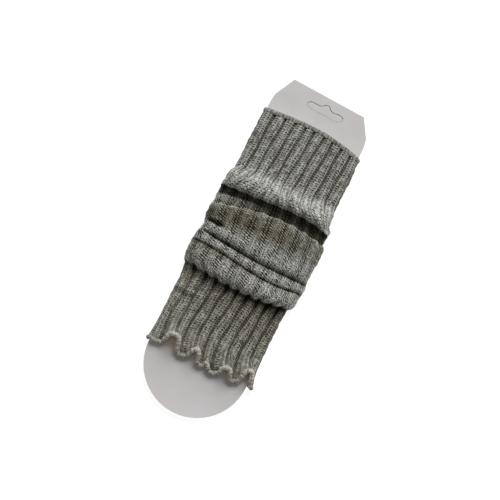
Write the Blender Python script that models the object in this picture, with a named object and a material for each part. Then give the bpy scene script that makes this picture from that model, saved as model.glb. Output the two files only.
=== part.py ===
"""Footless ribbed calf sock on a flat display board, lying on its back.

Written for Blender 4.5: blender --background --python part.py
Metres, +Z up. X runs across the sock and Y along it, with the top welt at +Y
and the frilled hem at -Y. The tables are in millimetres, measured from the
centre of the board's round end, and every mesh is scaled to metres and moved
so that the origin is under the middle of the whole thing.
"""

import math
from collections import namedtuple

import bpy
import numpy as np
from mathutils import Vector

MM = 0.001

# The board that the sock is stretched on
BOARD_HALF_WIDTH = 43.75
BOARD_THICKNESS = 0.7
BOARD_END_STEPS = 28
HEADER_LEFT = ((-43.75, 223.2), (-42.9, 230.0), (-33.7, 248.6))
HEADER_RIGHT = ((32.6, 244.8), (42.5, 228.4), (43.75, 221.4))

# How the layers lie on each other
GAP = 0.3
BACK_WALL = 2.6
FRONT_WALL = 2.6
THINNEST_WALL = 1.0
BOARD_BOTTOM = BACK_WALL + GAP
INSIDE_TOP = BOARD_BOTTOM + BOARD_THICKNESS + GAP
INSIDE_HALF_WIDTH = BOARD_HALF_WIDTH + GAP
FLAT_TOP = INSIDE_TOP + FRONT_WALL
LOWER_CORNER = FLAT_TOP / 2
INSIDE_SHIFT_REACH = 38.0

# The ribs: raised on the front and the sides, plain inside and underneath
RIB_DEPTH = 1.1
RIB_PROFILE = (0.0, 0.8, 1.0, 1.0, 0.8)
RIB_SIDE_PLACE = 1.3
RIB_LAST_PLACE = 2.9
RIB_FADE = 0.8
COLUMNS_PER_RIB = len(RIB_PROFILE)
FRONT_HALF = 27
INSIDE_CORNER = 25
HEM_FRONT = 22
BACK_COLUMNS = 25
PITCH_TOP = 8.7
PITCH_FOLDS = 12.4
PITCH_LOWER = 9.3
FOLDS_START = 168.0
FOLDS_END = 67.0
PITCH_OPENS = (152.0, 166.0)
PITCH_CLOSES = (64.0, 74.0)
SIDE_PLACE = 2.5

# The middle groove of the front wanders a little from side to side
GrooveStop = namedtuple("GrooveStop", "y x")
MIDDLE_GROOVE = (
    GrooveStop(20.0, -1.6),
    GrooveStop(62.0, 2.0),
    GrooveStop(115.0, 2.1),
    GrooveStop(161.0, -2.4),
    GrooveStop(214.0, 1.8),
)

# The cloth's path along the sock, one row for each fold line, from the welt
# down. The five y columns are its place at the five STATIONS across, height is
# its top in the middle, the edges are the half widths there, and ribs is how
# much of the ribs' depth shows. span says how the cloth goes on to the next
# row: straight, eased, or on a quarter turn that starts level or upright, of
# that many degrees, in that many rings.
STATIONS = (-44.0, -22.0, 0.0, 22.0, 44.0)
LINE_REACH = 46.0
Ring = namedtuple("Ring", "line height edge_left edge_right ribs")
CROWN = 0.12
CROWN_REACH = 50.0
Line = namedtuple(
    "Line",
    "name far_left left middle right far_right height edge_left edge_right ribs span arc rings",
)
LINES = (
    Line("welt_seam", 212.2, 213.9, 214.4, 212.2, 206.9, 6.5, 45.1, 45.1, 1.0, "straight", 0, 2),
    Line("upper_leg", 190.0, 190.0, 190.0, 190.0, 190.0, 6.5, 45.5, 46.0, 1.0, "straight", 0, 2),
    Line("crest_foot", 168.4, 168.0, 167.6, 167.2, 166.8, 6.6, 45.2, 45.2, 1.0, "ease", 0, 5),
    Line("crest_top", 151.2, 150.8, 150.4, 149.8, 148.8, 18.0, 48.4, 46.8, 0.9, "level", 90, 4),
    Line("crest_lip", 140.2, 141.5, 142.8, 143.5, 140.6, 13.0, 49.2, 50.2, 0.6, "upright", 75, 3),
    Line("valley_top", 143.4, 145.2, 146.5, 146.8, 142.6, 7.0, 48.2, 49.6, 0.3, "straight", 0, 3),
    Line("valley_low", 126.6, 129.8, 132.4, 132.8, 130.8, 7.0, 48.6, 49.0, 0.3, "level", 80, 2),
    Line("panel_edge", 123.5, 130.0, 133.8, 134.4, 131.4, 11.0, 49.4, 50.2, 0.7, "upright", 90, 4),
    Line("panel_top", 114.0, 117.0, 119.0, 119.0, 118.0, 15.2, 49.4, 52.2, 1.0, "straight", 0, 3),
    Line("panel_low", 106.0, 105.0, 104.0, 103.5, 104.0, 14.2, 47.6, 50.9, 0.8, "level", 75, 4),
    Line("crease_two", 98.6, 96.5, 94.6, 94.1, 94.5, 8.5, 48.2, 50.4, 0.1, "upright", 65, 3),
    Line("roll_top", 93.8, 92.0, 89.8, 88.7, 89.8, 12.2, 49.6, 51.9, 0.6, "level", 65, 3),
    Line("crease_three", 89.1, 87.7, 85.0, 83.3, 85.1, 8.6, 50.0, 51.0, 0.1, "upright", 75, 4),
    Line("ridge_top", 79.5, 78.0, 76.5, 75.5, 78.0, 15.0, 50.2, 50.6, 0.9, "level", 75, 5),
    Line("ridge_foot", 69.5, 67.2, 66.1, 66.9, 70.6, 7.2, 46.6, 46.4, 0.5, "straight", 0, 2),
    Line("lower_leg", 60.0, 60.0, 59.5, 59.5, 60.0, 6.5, 45.1, 45.3, 1.0, "straight", 0, 4),
    Line("hem_root", 26.0, 26.0, 26.0, 26.0, 26.0, 6.5, 45.1, 45.2, 1.0, "end", 0, 0),
)

# A column's side and place on its ring, and its share of a groove's depth
Mark = namedtuple("Mark", "side place groove")
BACK_BLEND = (1.4, 2.6)

# Folds that die out across the front: pressed in where depth is above nothing
ShortFold = namedtuple("ShortFold", "name x half_length y slope half_width depth")
SHORT_FOLDS = (
    ShortFold("left_tuck", -47.0, 26.0, 109.5, -0.06, 3.4, 2.8),
)
SHORT_FOLD_FADE = 5.0

# The frilled hem: each row is a low of the rim and the arch to its right.
# loop is how upright the arch's flanks stand.
Wave = namedtuple("Wave", "low_x low_y peak_x peak_y peak_z loop")
HEM_WAVES = (
    Wave(-39.0, 1.6, -27.0, 14.0, 14.0, 0.07),
    Wave(-16.0, 0.0, -6.0, 10.6, 12.5, 0.08),
    Wave(0.4, -0.6, 6.2, 3.4, 7.8, 0.03),
    Wave(12.0, -1.6, 23.4, 9.2, 12.5, 0.08),
    Wave(30.0, -0.4, 41.6, 14.8, 13.0, 0.06),
    Wave(46.2, 2.2, 46.2, 2.2, 5.8, 0.0),
)
HEM_SIDE_Y = 2.2
HEM_FRONT_PLACE = 1.6
HEM_LOW_HEIGHT = INSIDE_TOP + 1.8
HEM_WALL = 1.8
HEM_THIN_RINGS = 3
SLOT_SHARE = 0.8
HEM_RINGS = 6
HEM_SPREAD_POWER = 1.5
HEM_RISE_POWER = 2.2
HEM_FLARE = {-1: 1.0, 1: 2.6}
BACK_WAVE = 1.0
BACK_WAVES = 4
BACK_WAVE_REACH = 34.0
BACK_HEM_Y = 3.0
WAVE_STEPS = 24

# The overlocked thread rim along the hem
RIM_REACH = 1.25
RIM_HEIGHT = 1.3
RIM_SIDES = 8
RIM_GAP = 0.5

# The rolled welt at the top
WELT_LENGTH = 3.6
WELT_PROUD = 0.5
WELT_PROFILE = ((0.0, 0.0), (0.14, 0.8), (0.5, 1.0), (0.86, 0.7), (1.0, 0.0))

KNIT_GREY = (0.36, 0.355, 0.33, 1.0)
RIM_BEIGE = (0.52, 0.48, 0.40, 1.0)
BOARD_WHITE = (0.70, 0.68, 0.66, 1.0)


def smooth(t):
    """A soft step from 0 to 1."""
    t = np.clip(t, 0.0, 1.0)
    return t * t * (3.0 - 2.0 * t)


def quarter_turn(t, arc, starts_level):
    """Shares of the way along and up at t, on part of an ellipse."""
    turn = math.radians(arc)
    far = math.sin(turn * t) / math.sin(turn)
    near = (1.0 - math.cos(turn * t)) / (1.0 - math.cos(turn))
    return (far, near) if starts_level else (near, far)


def span_shares(line, t):
    """How much of the next line's place and height a ring at t takes."""
    if line.span == "ease":
        return t, float(smooth(t))
    if line.span == "level":
        return quarter_turn(t, line.arc, True)
    if line.span == "upright":
        return quarter_turn(t, line.arc, False)
    return t, t


def line_quartic(line):
    """The smooth curve of y over x through a row's five places."""
    return np.polyfit(STATIONS, (line.far_left, line.left, line.middle, line.right, line.far_right), 4)


def place_on_line(quartic, x):
    """The y of a line at x, held level past its reach."""
    return np.polyval(quartic, np.clip(x, -LINE_REACH, LINE_REACH))


def path_rings():
    """The rings down the cloth's path, welt first, each with its line as a quartic."""
    rings = []
    for line, following in zip(LINES, LINES[1:]):
        here, there = line_quartic(line), line_quartic(following)
        for step in range(line.rings):
            along, up = span_shares(line, step / line.rings)
            rings.append(
                Ring(
                    here + (there - here) * along,
                    line.height + (following.height - line.height) * up,
                    line.edge_left + (following.edge_left - line.edge_left) * along,
                    line.edge_right + (following.edge_right - line.edge_right) * along,
                    line.ribs + (following.ribs - line.ribs) * along,
                )
            )
    last = LINES[-1]
    rings.append(Ring(line_quartic(last), last.height, last.edge_left, last.edge_right, last.ribs))
    return rings


def back_lines(rings):
    """Where each ring runs on the flat underside: evenly along the cloth's path."""
    middle = np.array([[place_on_line(ring.line, 0.0), ring.height] for ring in rings])
    lengths = np.hypot(*np.diff(middle, axis=0).T)
    run = np.concatenate([[0.0], np.cumsum(lengths)])
    lines = [ring.line for ring in rings]
    first = next(i for i, place in enumerate(middle) if place[0] < FOLDS_START)
    last = max(i for i, place in enumerate(middle) if place[0] > FOLDS_END)
    for i in range(first, last + 1):
        share = (run[i] - run[first]) / (run[last] - run[first])
        lines[i] = rings[first].line + (rings[last].line - rings[first].line) * share
    return lines


def rib_pitch(y):
    """The width of one rib and its groove: stretched flat, or let go in the folds."""
    above = smooth((PITCH_OPENS[1] - y) / (PITCH_OPENS[1] - PITCH_OPENS[0]))
    below = smooth((y - PITCH_CLOSES[0]) / (PITCH_CLOSES[1] - PITCH_CLOSES[0]))
    flat = PITCH_TOP if y > (PITCH_OPENS[0] + PITCH_CLOSES[1]) / 2 else PITCH_LOWER
    return flat + (PITCH_FOLDS - flat) * above * below


class Section:
    """One flat tube section: a level top, round sides and a flat bottom.

    A place on it is a number from 0 to 4 on each side: 0 to 1 along the top
    from the middle, 1 to 2 down the upper side, 2 to 3 down the lower side and
    3 to 4 back along the bottom. The lower side keeps one radius, so that a
    tall fold stays as wide as the board beside the board's edge.
    """

    def __init__(self, top, edge_left, edge_right):
        self.top = top
        self.reach = top / 2
        self.edge = {-1: edge_left, 1: edge_right}

    def point(self, side, place):
        """The x and z of a place."""
        over = self.edge[side] - self.reach
        under = self.edge[side] - LOWER_CORNER
        turn = (place - 1) * math.pi / 2
        if place <= 1:
            return side * over * place, self.top
        if place <= 2:
            height = LOWER_CORNER + (self.top - LOWER_CORNER) * math.cos(turn)
            return side * (over + self.reach * math.sin(turn)), height
        if place < 3:
            return side * (under + LOWER_CORNER * math.sin(turn)), LOWER_CORNER * (1 + math.cos(turn))
        return side * under * (4 - place), 0.0

    def corners(self, side):
        """How far round from the middle of the top each whole place lies."""
        upper = math.hypot(self.reach, self.top - LOWER_CORNER) / math.sqrt(2) * math.pi / 2
        lower = LOWER_CORNER * math.pi / 2
        return np.cumsum(
            [0.0, self.edge[side] - self.reach, upper, lower, self.edge[side] - LOWER_CORNER]
        )

    def place_at(self, side, run):
        """The place that lies this far round."""
        return float(np.interp(run, self.corners(side), np.arange(5)))

    def run_to(self, side, place):
        """How far round a place lies."""
        return float(np.interp(place, np.arange(5), self.corners(side)))


def column_places(section, y):
    """(side, place, rib height share) of every column round one ring.

    The front columns keep the rib pitch in the middle and always end at
    SIDE_PLACE, so that each column stays beside the same part of the inside.
    """
    half_width = float(rib_pitch(y)) * FRONT_HALF / COLUMNS_PER_RIB
    middle = float(np.interp(y, [stop.y for stop in MIDDLE_GROOVE], [stop.x for stop in MIDDLE_GROOVE]))
    columns = []
    for k in range(-FRONT_HALF, FRONT_HALF + 1):
        u = k / FRONT_HALF
        end = section.run_to(1 if k >= 0 else -1, SIDE_PLACE)
        run = end * u + ((half_width - end) * u + middle) * (1 - u * u)
        side = 1 if run >= 0 else -1
        columns.append((side, section.place_at(side, abs(run)), RIB_PROFILE[k % COLUMNS_PER_RIB]))
    rests = {side: section.run_to(side, 4.0) - section.run_to(side, SIDE_PLACE) for side in (-1, 1)}
    for k in range(1, BACK_COLUMNS + 1):
        run = (rests[1] + rests[-1]) * k / (BACK_COLUMNS + 1)
        side = 1 if run <= rests[1] else -1
        rest = run if side > 0 else rests[1] + rests[-1] - run
        columns.append((side, section.place_at(side, section.run_to(side, SIDE_PLACE) + rest), 0.0))
    return columns


def short_fold_depth(x, y):
    """How far the short folds press the front in at this place."""
    depth = 0.0
    for fold in SHORT_FOLDS:
        along = (x - fold.x) / fold.half_length
        across = (y - fold.y - fold.slope * (x - fold.x)) / fold.half_width
        if abs(along) < 1:
            depth += fold.depth * (1 - along * along) ** 2 * math.exp(-across * across)
    return depth


def outer_rings():
    """The cloth's outside without its ribs, and each column's place and rib share."""
    rings = path_rings()
    points, marks = [], []
    for ring, back in zip(rings, back_lines(rings)):
        section = Section(ring.height, ring.edge_left, ring.edge_right)
        proud = max(ring.height - FLAT_TOP, 0.0)
        row, mark = [], []
        for side, place, rib in column_places(section, float(place_on_line(ring.line, 0.0))):
            x, z = section.point(side, place)
            to_back = float(smooth((place - BACK_BLEND[0]) / (BACK_BLEND[1] - BACK_BLEND[0])))
            y = float(place_on_line(ring.line + (back - ring.line) * to_back, x))
            drop = proud * CROWN * (x / CROWN_REACH) ** 2
            drop += short_fold_depth(x, y) * float(smooth(proud / SHORT_FOLD_FADE))
            row.append((x, y, z - drop * z / ring.height))
            mark.append(Mark(side, place, (1.0 - rib) * ring.ribs))
        points.append(row)
        marks.append(mark)
    return np.array(points), marks


def grid_normals(points):
    """Outward normals of a grid of rings, each ring closed."""
    along = np.gradient(points, axis=0)
    round_ring = np.roll(points, -1, axis=1) - np.roll(points, 1, axis=1)
    normals = np.cross(along, round_ring)
    return normals / np.maximum(np.linalg.norm(normals, axis=2, keepdims=True), 1e-9)


def raise_ribs(points, marks):
    """Presses the grooves between the ribs into the outside."""
    normals = grid_normals(points)
    for i, row in enumerate(marks):
        for j, mark in enumerate(row):
            room = max(abs(points[i, j, 0]) - INSIDE_HALF_WIDTH - THINNEST_WALL, 0.0)
            depth = min(RIB_DEPTH, room) if mark.place > RIB_SIDE_PLACE else RIB_DEPTH
            depth *= float(smooth((RIB_LAST_PLACE - mark.place) / RIB_FADE))
            points[i, j] -= normals[i, j] * depth * mark.groove


def hem_curve(left_end, right_end):
    """Points along the rim over the front, between the ends of its side stretches."""
    curve = [tuple(left_end)]
    for wave, following in zip(HEM_WAVES, HEM_WAVES[1:]):
        for step in range(WAVE_STEPS):
            t = step / WAVE_STEPS
            swing = t + wave.loop * math.sin(4 * math.pi * t)
            rise = (1 - math.cos(2 * math.pi * t)) / 2
            if t < 0.5:
                x = wave.low_x + (wave.peak_x - wave.low_x) * 2 * swing
                low = wave.low_y
            else:
                x = wave.peak_x + (following.low_x - wave.peak_x) * (2 * swing - 1)
                low = following.low_y
            y = low + (wave.peak_y - low) * rise
            z = HEM_LOW_HEIGHT + (wave.peak_z - HEM_LOW_HEIGHT) * rise
            curve.append((x, y, z))
    curve.append(tuple(right_end))
    return np.array(curve)


def along_curve(curve, shares):
    """Points at these shares of the curve's length."""
    lengths = np.linalg.norm(np.diff(curve, axis=0), axis=1)
    run = np.concatenate([[0.0], np.cumsum(lengths)])
    run /= run[-1]
    return np.stack([np.interp(shares, run, curve[:, i]) for i in range(3)], axis=1)


def hem_targets(root, marks):
    """Where each column of the last ring ends on the frilled edge."""
    targets = root.copy()
    for j, mark in enumerate(marks):
        wave = math.cos(math.pi * BACK_WAVES * root[j, 0] / BOARD_HALF_WIDTH)
        wave *= float(smooth((BOARD_HALF_WIDTH - abs(root[j, 0])) / (BOARD_HALF_WIDTH - BACK_WAVE_REACH)))
        to_back = float(smooth(mark.place - 2.0))
        outward = float(smooth((mark.place - 1.0) / (HEM_FRONT_PLACE - 1.0))) * (1 - to_back)
        targets[j, 0] += mark.side * HEM_FLARE[mark.side] * outward
        targets[j, 1] = HEM_SIDE_Y + (BACK_HEM_Y + BACK_WAVE * wave - HEM_SIDE_Y) * to_back
    front = [j for j, mark in enumerate(marks) if mark.place < HEM_FRONT_PLACE]
    curve = hem_curve(targets[front[0]], targets[front[-1]])
    targets[front] = along_curve(curve, np.linspace(0.0, 1.0, len(front)))
    return targets


def hem_rings(root, targets):
    """Rings from the flat leg to the frilled edge, flaring more and more."""
    rings = []
    for step in range(1, HEM_RINGS + 1):
        t = step / HEM_RINGS
        ring = root.copy()
        ring[:, 0] += (targets[:, 0] - root[:, 0]) * t**HEM_SPREAD_POWER
        ring[:, 1] += (targets[:, 1] - root[:, 1]) * t
        ring[:, 2] += (targets[:, 2] - root[:, 2]) * t**HEM_RISE_POWER
        rings.append(ring)
    return np.array(rings)


def inside_ring(y, shift):
    """The plain inside, at one y or at a y for each column.

    It is a slot with a column exactly at each corner, and it follows the
    middle groove's shift on the front.
    """
    height = INSIDE_TOP - BACK_WALL
    ring = []
    for k in range(-FRONT_HALF, FRONT_HALF + 1):
        side = 1 if k >= 0 else -1
        x = min(abs(k) / INSIDE_CORNER, 1.0) * INSIDE_HALF_WIDTH
        down = max(abs(k) - INSIDE_CORNER, 0) / (FRONT_HALF + 1 - INSIDE_CORNER)
        sway = shift * max(1 - (x / INSIDE_SHIFT_REACH) ** 2, 0.0)
        ring.append((side * x + sway, 0.0, INSIDE_TOP - height * down))
    for k in range(BACK_COLUMNS):
        ring.append((INSIDE_HALF_WIDTH * (1 - 2 * k / (BACK_COLUMNS - 1)), 0.0, BACK_WALL))
    ring = np.array(ring)
    ring[:, 1] = y
    return ring


def inside_seam(along):
    """The plain inside under the welt's seam, moved along."""
    ring = inside_ring(0.0, MIDDLE_GROOVE[-1].x)
    ring[:, 1] = place_on_line(line_quartic(LINES[0]), ring[:, 0]) + along
    return ring


def toward_slot(points, reach):
    """Each point moved toward the nearest point of the inside slot, but never quite onto it."""
    nearest = points.copy()
    nearest[:, 0] = np.clip(points[:, 0], -INSIDE_HALF_WIDTH, INSIDE_HALF_WIDTH)
    nearest[:, 2] = np.clip(points[:, 2], BACK_WALL, INSIDE_TOP)
    away = np.linalg.norm(nearest - points, axis=1, keepdims=True)
    return points + (nearest - points) * np.minimum(reach / np.maximum(away, GAP), SLOT_SHARE)


def hem_inside(rings, normals):
    """The hem's inside: plain at its root, a thin even wall at its edge."""
    inner = []
    for i, ring in enumerate(rings):
        plain = inside_ring(ring[:, 1], MIDDLE_GROOVE[0].x)
        thin = plain.copy()
        beside = slice(FRONT_HALF - INSIDE_CORNER, FRONT_HALF + INSIDE_CORNER + 1)
        thin[beside] = toward_slot(ring[beside], HEM_WALL)
        front = slice(FRONT_HALF - HEM_FRONT, FRONT_HALF + HEM_FRONT + 1)
        thin[front] = ring[front] - normals[i][front] * HEM_WALL
        thin[front, 2] = np.maximum(thin[front, 2], INSIDE_TOP)
        share = float(smooth((i + 1) / HEM_THIN_RINGS))
        inner.append(plain + (thin - plain) * share)
    return inner


def make_material(name, colour, roughness):
    """A plain Principled material."""
    material = bpy.data.materials.new(name)
    material.use_nodes = True
    shader = material.node_tree.nodes["Principled BSDF"]
    shader.inputs["Base Color"].default_value = colour
    shader.inputs["Roughness"].default_value = roughness
    shader.inputs["Metallic"].default_value = 0.0
    return material


def add_object(name, mesh, material, collection):
    """Puts a finished mesh in the scene as one named piece."""
    mesh.materials.append(material)
    piece = bpy.data.objects.new(name, mesh)
    collection.objects.link(piece)
    return piece


def loft(name, rings, material, collection):
    """A closed wall through rings that follow each other back to the first."""
    count, columns = len(rings), len(rings[0])
    points = np.concatenate(rings) * MM
    faces = []
    for i in range(count):
        following = (i + 1) % count
        for j in range(columns):
            beside = (j + 1) % columns
            faces.append(
                (
                    i * columns + j,
                    following * columns + j,
                    following * columns + beside,
                    i * columns + beside,
                )
            )
    mesh = bpy.data.meshes.new(name)
    mesh.from_pydata(points.tolist(), [], faces)
    mesh.shade_smooth()
    return add_object(name, mesh, material, collection)


def build_leg(material, collection):
    """The knitted leg, from under the welt to the frilled edge."""
    outside, marks = outer_rings()
    smooth_outside = outside.copy()
    raise_ribs(outside, marks)
    targets = hem_targets(outside[-1], marks[-1])
    hem = hem_rings(outside[-1], targets)
    around = np.concatenate([smooth_outside[-1:], hem])
    hem_normals = grid_normals(around)[1:]
    inner = hem_inside(hem, hem_normals)
    rings = [*outside, *hem, *inner[::-1]]
    rings.append(inside_ring(outside[-1][:, 1], MIDDLE_GROOVE[0].x))
    rings.append(inside_seam(0.0))
    loft("leg_tube", rings, material, collection)
    return outside, marks, hem, hem_normals


def build_welt(seam, marks, material, collection):
    """The rolled band at the top, made from the leg's first ring, moved on."""
    rows = []
    for share, proud in WELT_PROFILE:
        row = seam.copy()
        row[:, 1] += GAP + WELT_LENGTH * share
        for j, mark in enumerate(marks):
            outward = WELT_PROUD * proud * float(smooth(3.0 - mark.place))
            row[j, 2] += outward * float(smooth(2.0 - mark.place))
            row[j, 0] += mark.side * outward * float(smooth(mark.place - 1.0))
        rows.append(row)
    inner = [inside_seam(along) for along in (GAP, GAP + WELT_LENGTH)]
    loft("top_welt", [*rows[::-1], *inner], material, collection)


def build_rim(hem, normals, marks, material, collection):
    """The thread rim, rolled round the frilled edge just clear of it."""
    edge = hem[-1]
    places = np.array([mark.place for mark in marks])
    to_back = smooth((places - SIDE_PLACE) / (3.0 - SIDE_PLACE))[:, None]
    upward = normals[-1] * (1 - to_back) + np.array((0.0, 0.0, -1.0)) * to_back
    upward /= np.linalg.norm(upward, axis=1, keepdims=True)
    tangent = np.roll(edge, -1, axis=0) - np.roll(edge, 1, axis=0)
    heading = np.cross(upward, tangent)
    heading /= np.linalg.norm(heading, axis=1, keepdims=True)
    heading *= -np.sign(heading[:, 1:2])
    centre = edge - upward * (HEM_WALL / 2) + heading * (RIM_GAP + RIM_REACH)
    centre[:, 2] = np.where(places < SIDE_PLACE, np.maximum(centre[:, 2], RIM_HEIGHT), RIM_HEIGHT)
    for j, mark in enumerate(marks):
        if mark.place < HEM_FRONT_PLACE:
            centre[j, 2] = max(centre[j, 2], INSIDE_TOP + RIM_HEIGHT)
        elif mark.place <= SIDE_PLACE:
            centre[j, 0] = mark.side * max(abs(centre[j, 0]), INSIDE_HALF_WIDTH + RIM_HEIGHT)
    rings = []
    for step in range(RIM_SIDES):
        turn = -2 * math.pi * step / RIM_SIDES
        rings.append(centre + heading * RIM_REACH * math.cos(turn) + upward * RIM_HEIGHT * math.sin(turn))
    loft("hem_edging", rings, material, collection)


def build_board(material, collection):
    """The flat board: straight sides, a round lower end and a cut header."""
    outline = []
    for step in range(BOARD_END_STEPS + 1):
        turn = math.pi + math.pi * step / BOARD_END_STEPS
        outline.append((BOARD_HALF_WIDTH * math.cos(turn), BOARD_HALF_WIDTH * math.sin(turn)))
    outline += list(HEADER_RIGHT[::-1]) + list(HEADER_LEFT[::-1])
    curve = bpy.data.curves.new("display_board", "CURVE")
    curve.dimensions = "2D"
    curve.fill_mode = "BOTH"
    curve.extrude = BOARD_THICKNESS / 2 * MM
    spline = curve.splines.new("POLY")
    spline.points.add(len(outline) - 1)
    for point, (x, y) in zip(spline.points, outline):
        point.co = (x * MM, y * MM, 0.0, 1.0)
    spline.use_cyclic_u = True
    curve.materials.append(material)
    board = bpy.data.objects.new("display_board", curve)
    board.location.z = (BOARD_BOTTOM + BOARD_THICKNESS / 2) * MM
    collection.objects.link(board)


def centre_on_box(collection):
    """Moves everything so that the origin is under the middle of the whole."""
    bpy.context.view_layer.update()
    corners = np.array(
        [piece.matrix_world @ Vector(corner) for piece in collection.objects for corner in piece.bound_box]
    )
    middle = (corners.min(axis=0) + corners.max(axis=0)) / 2
    for piece in collection.objects:
        piece.location.x -= middle[0]
        piece.location.y -= middle[1]


def main():
    for old in list(bpy.data.objects):
        bpy.data.objects.remove(old)
    collection = bpy.data.collections.new("calf_sock_on_board")
    bpy.context.scene.collection.children.link(collection)
    knit = make_material("heather_knit", KNIT_GREY, 0.95)
    thread = make_material("overlock_thread", RIM_BEIGE, 0.9)
    card = make_material("pale_board", BOARD_WHITE, 0.7)
    outside, marks, hem, hem_normals = build_leg(knit, collection)
    build_welt(outside[0], marks[0], knit, collection)
    build_rim(hem, hem_normals, marks[-1], thread, collection)
    build_board(card, collection)
    centre_on_box(collection)


main()
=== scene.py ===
"""Looks of a footless ribbed calf sock that lies stretched over a flat display board.

Written for Blender 4.5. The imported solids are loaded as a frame, and each knitted
piece is modelled again here, stitch row by stitch row, on the form of its solid.
Sizes are in millimetres on the board's own axes: X across, Y up the board from the
middle of its round end, Z up from the floor. ``BoardPlace`` moves them to the frame.
"""

from __future__ import annotations

import logging
import math
from dataclasses import dataclass, field
from enum import Enum
from typing import Any

import bpy
import numpy as np
from mathutils import Matrix, Vector

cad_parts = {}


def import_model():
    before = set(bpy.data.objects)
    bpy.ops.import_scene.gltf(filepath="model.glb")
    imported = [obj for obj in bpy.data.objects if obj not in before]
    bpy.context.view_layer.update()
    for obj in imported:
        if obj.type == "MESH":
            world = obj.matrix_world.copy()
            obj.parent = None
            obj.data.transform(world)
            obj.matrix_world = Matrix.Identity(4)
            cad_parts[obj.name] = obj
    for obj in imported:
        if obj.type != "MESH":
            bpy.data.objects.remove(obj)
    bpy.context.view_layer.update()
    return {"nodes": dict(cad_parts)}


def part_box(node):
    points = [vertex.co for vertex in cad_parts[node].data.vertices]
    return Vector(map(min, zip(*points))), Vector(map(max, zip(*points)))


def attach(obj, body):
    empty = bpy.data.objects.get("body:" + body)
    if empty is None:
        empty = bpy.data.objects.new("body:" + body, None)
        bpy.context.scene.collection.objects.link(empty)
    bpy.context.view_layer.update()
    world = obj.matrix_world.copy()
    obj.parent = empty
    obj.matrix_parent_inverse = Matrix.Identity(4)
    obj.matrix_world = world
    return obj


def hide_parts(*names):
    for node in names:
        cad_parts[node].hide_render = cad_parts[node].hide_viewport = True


LOG = logging.getLogger("calf_sock")
MM = 0.001
Array = np.ndarray
Colour = tuple[float, float, float, float]


def soft_step(value: Any, low: float = 0.0, high: float = 1.0) -> Any:
    """A soft step from 0 at low to 1 at high.

    Args:
        value: A number or an array.
        low: Where the step starts.
        high: Where the step ends.

    Returns:
        The step's height, of the same shape as value.
    """
    t = np.clip((np.asarray(value, float) - low) / (high - low), 0.0, 1.0)
    return t * t * (3.0 - 2.0 * t)


def grid_normals(points: Array) -> Array:
    """Outward unit normals of a grid of closed rings.

    Args:
        points: Rows, columns and three coordinates.

    Returns:
        One normal for each point.
    """
    along = np.gradient(points, axis=0)
    around = np.roll(points, -1, axis=1) - np.roll(points, 1, axis=1)
    normals = np.cross(along, around)
    return normals / np.maximum(np.linalg.norm(normals, axis=2, keepdims=True), 1e-9)


def path_run(points: Array) -> Array:
    """How far along a path each of its points lies.

    Args:
        points: The path's points, one a row.

    Returns:
        Lengths from the first point, which is at 0.
    """
    steps = np.linalg.norm(np.diff(points, axis=0), axis=1)
    return np.concatenate([[0.0], np.cumsum(steps)])


@dataclass
class RingWall:
    """A closed wall through rings of points, with a UV map that follows its grid.

    Attributes:
        name: The piece's name.
        uv_name: The UV map's name.
        rings: Rows, columns and three coordinates.
        across: The UV's first number for each column, and one more for the seam.
        down: The UV's second number for each row or point, and one more row.
        marks: Named numbers for each point, which the material reads.
        reverse: Whether the faces are wound the other way, to look outward.
    """

    name: str
    uv_name: str
    rings: Array
    across: Array
    down: Array
    marks: dict[str, Array]
    reverse: bool = False

    def build(self, place: BoardPlace) -> bpy.types.Object:
        """Makes the wall a piece.

        Args:
            place: Where the board's axes lie in the frame.

        Returns:
            The new piece.
        """
        rows, columns = self.rings.shape[:2]
        i, j = np.meshgrid(np.arange(rows), np.arange(columns), indexing="ij")
        corners = [(i, j), (i + 1, j), (i + 1, j + 1), (i, j + 1)]
        if self.reverse:
            corners = [corners[k] for k in (0, 3, 2, 1)]
        faces = np.stack([(r % rows) * columns + c % columns for r, c in corners], axis=-1)
        mesh = bpy.data.meshes.new(self.name)
        points = place.metres(self.rings).reshape(-1, 3)
        mesh.from_pydata(points.tolist(), [], faces.reshape(-1, 4).tolist())
        down = np.broadcast_to(self.down.reshape(rows + 1, -1), (rows + 1, columns))
        uv = np.stack([np.stack([self.across[c], down[r, c % columns]], -1) for r, c in corners], axis=-2)
        layer = mesh.uv_layers.new(name=self.uv_name)
        layer.data.foreach_set("uv", uv.astype(np.float32).ravel())
        for name, values in self.marks.items():
            mark = mesh.attributes.new(name, "FLOAT", "POINT")
            mark.data.foreach_set("value", values.astype(np.float32).ravel())
        mesh.shade_smooth()
        piece = bpy.data.objects.new(self.name, mesh)
        bpy.context.scene.collection.objects.link(piece)
        return piece


class BoardPlace:
    """Where the board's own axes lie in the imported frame."""

    def __init__(self) -> None:
        """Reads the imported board's box."""
        low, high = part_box("display_board")
        self.x = (low.x + high.x) / 2
        self.y = low.y + Board.half_width * MM
        self.top = high.z

    def metres(self, points: Array) -> Array:
        """Moves points in millimetres on the board's axes to metres in the frame.

        Args:
            points: An array whose last axis holds X, Y and Z.

        Returns:
            The moved points.
        """
        return np.asarray(points, float) * MM + np.array((self.x, self.y, 0.0))


class Span(Enum):
    """How the cloth goes on from one fold line to the next."""

    STRAIGHT = "straight"
    EASE = "ease"
    LEVEL = "level"
    UPRIGHT = "upright"


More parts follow.
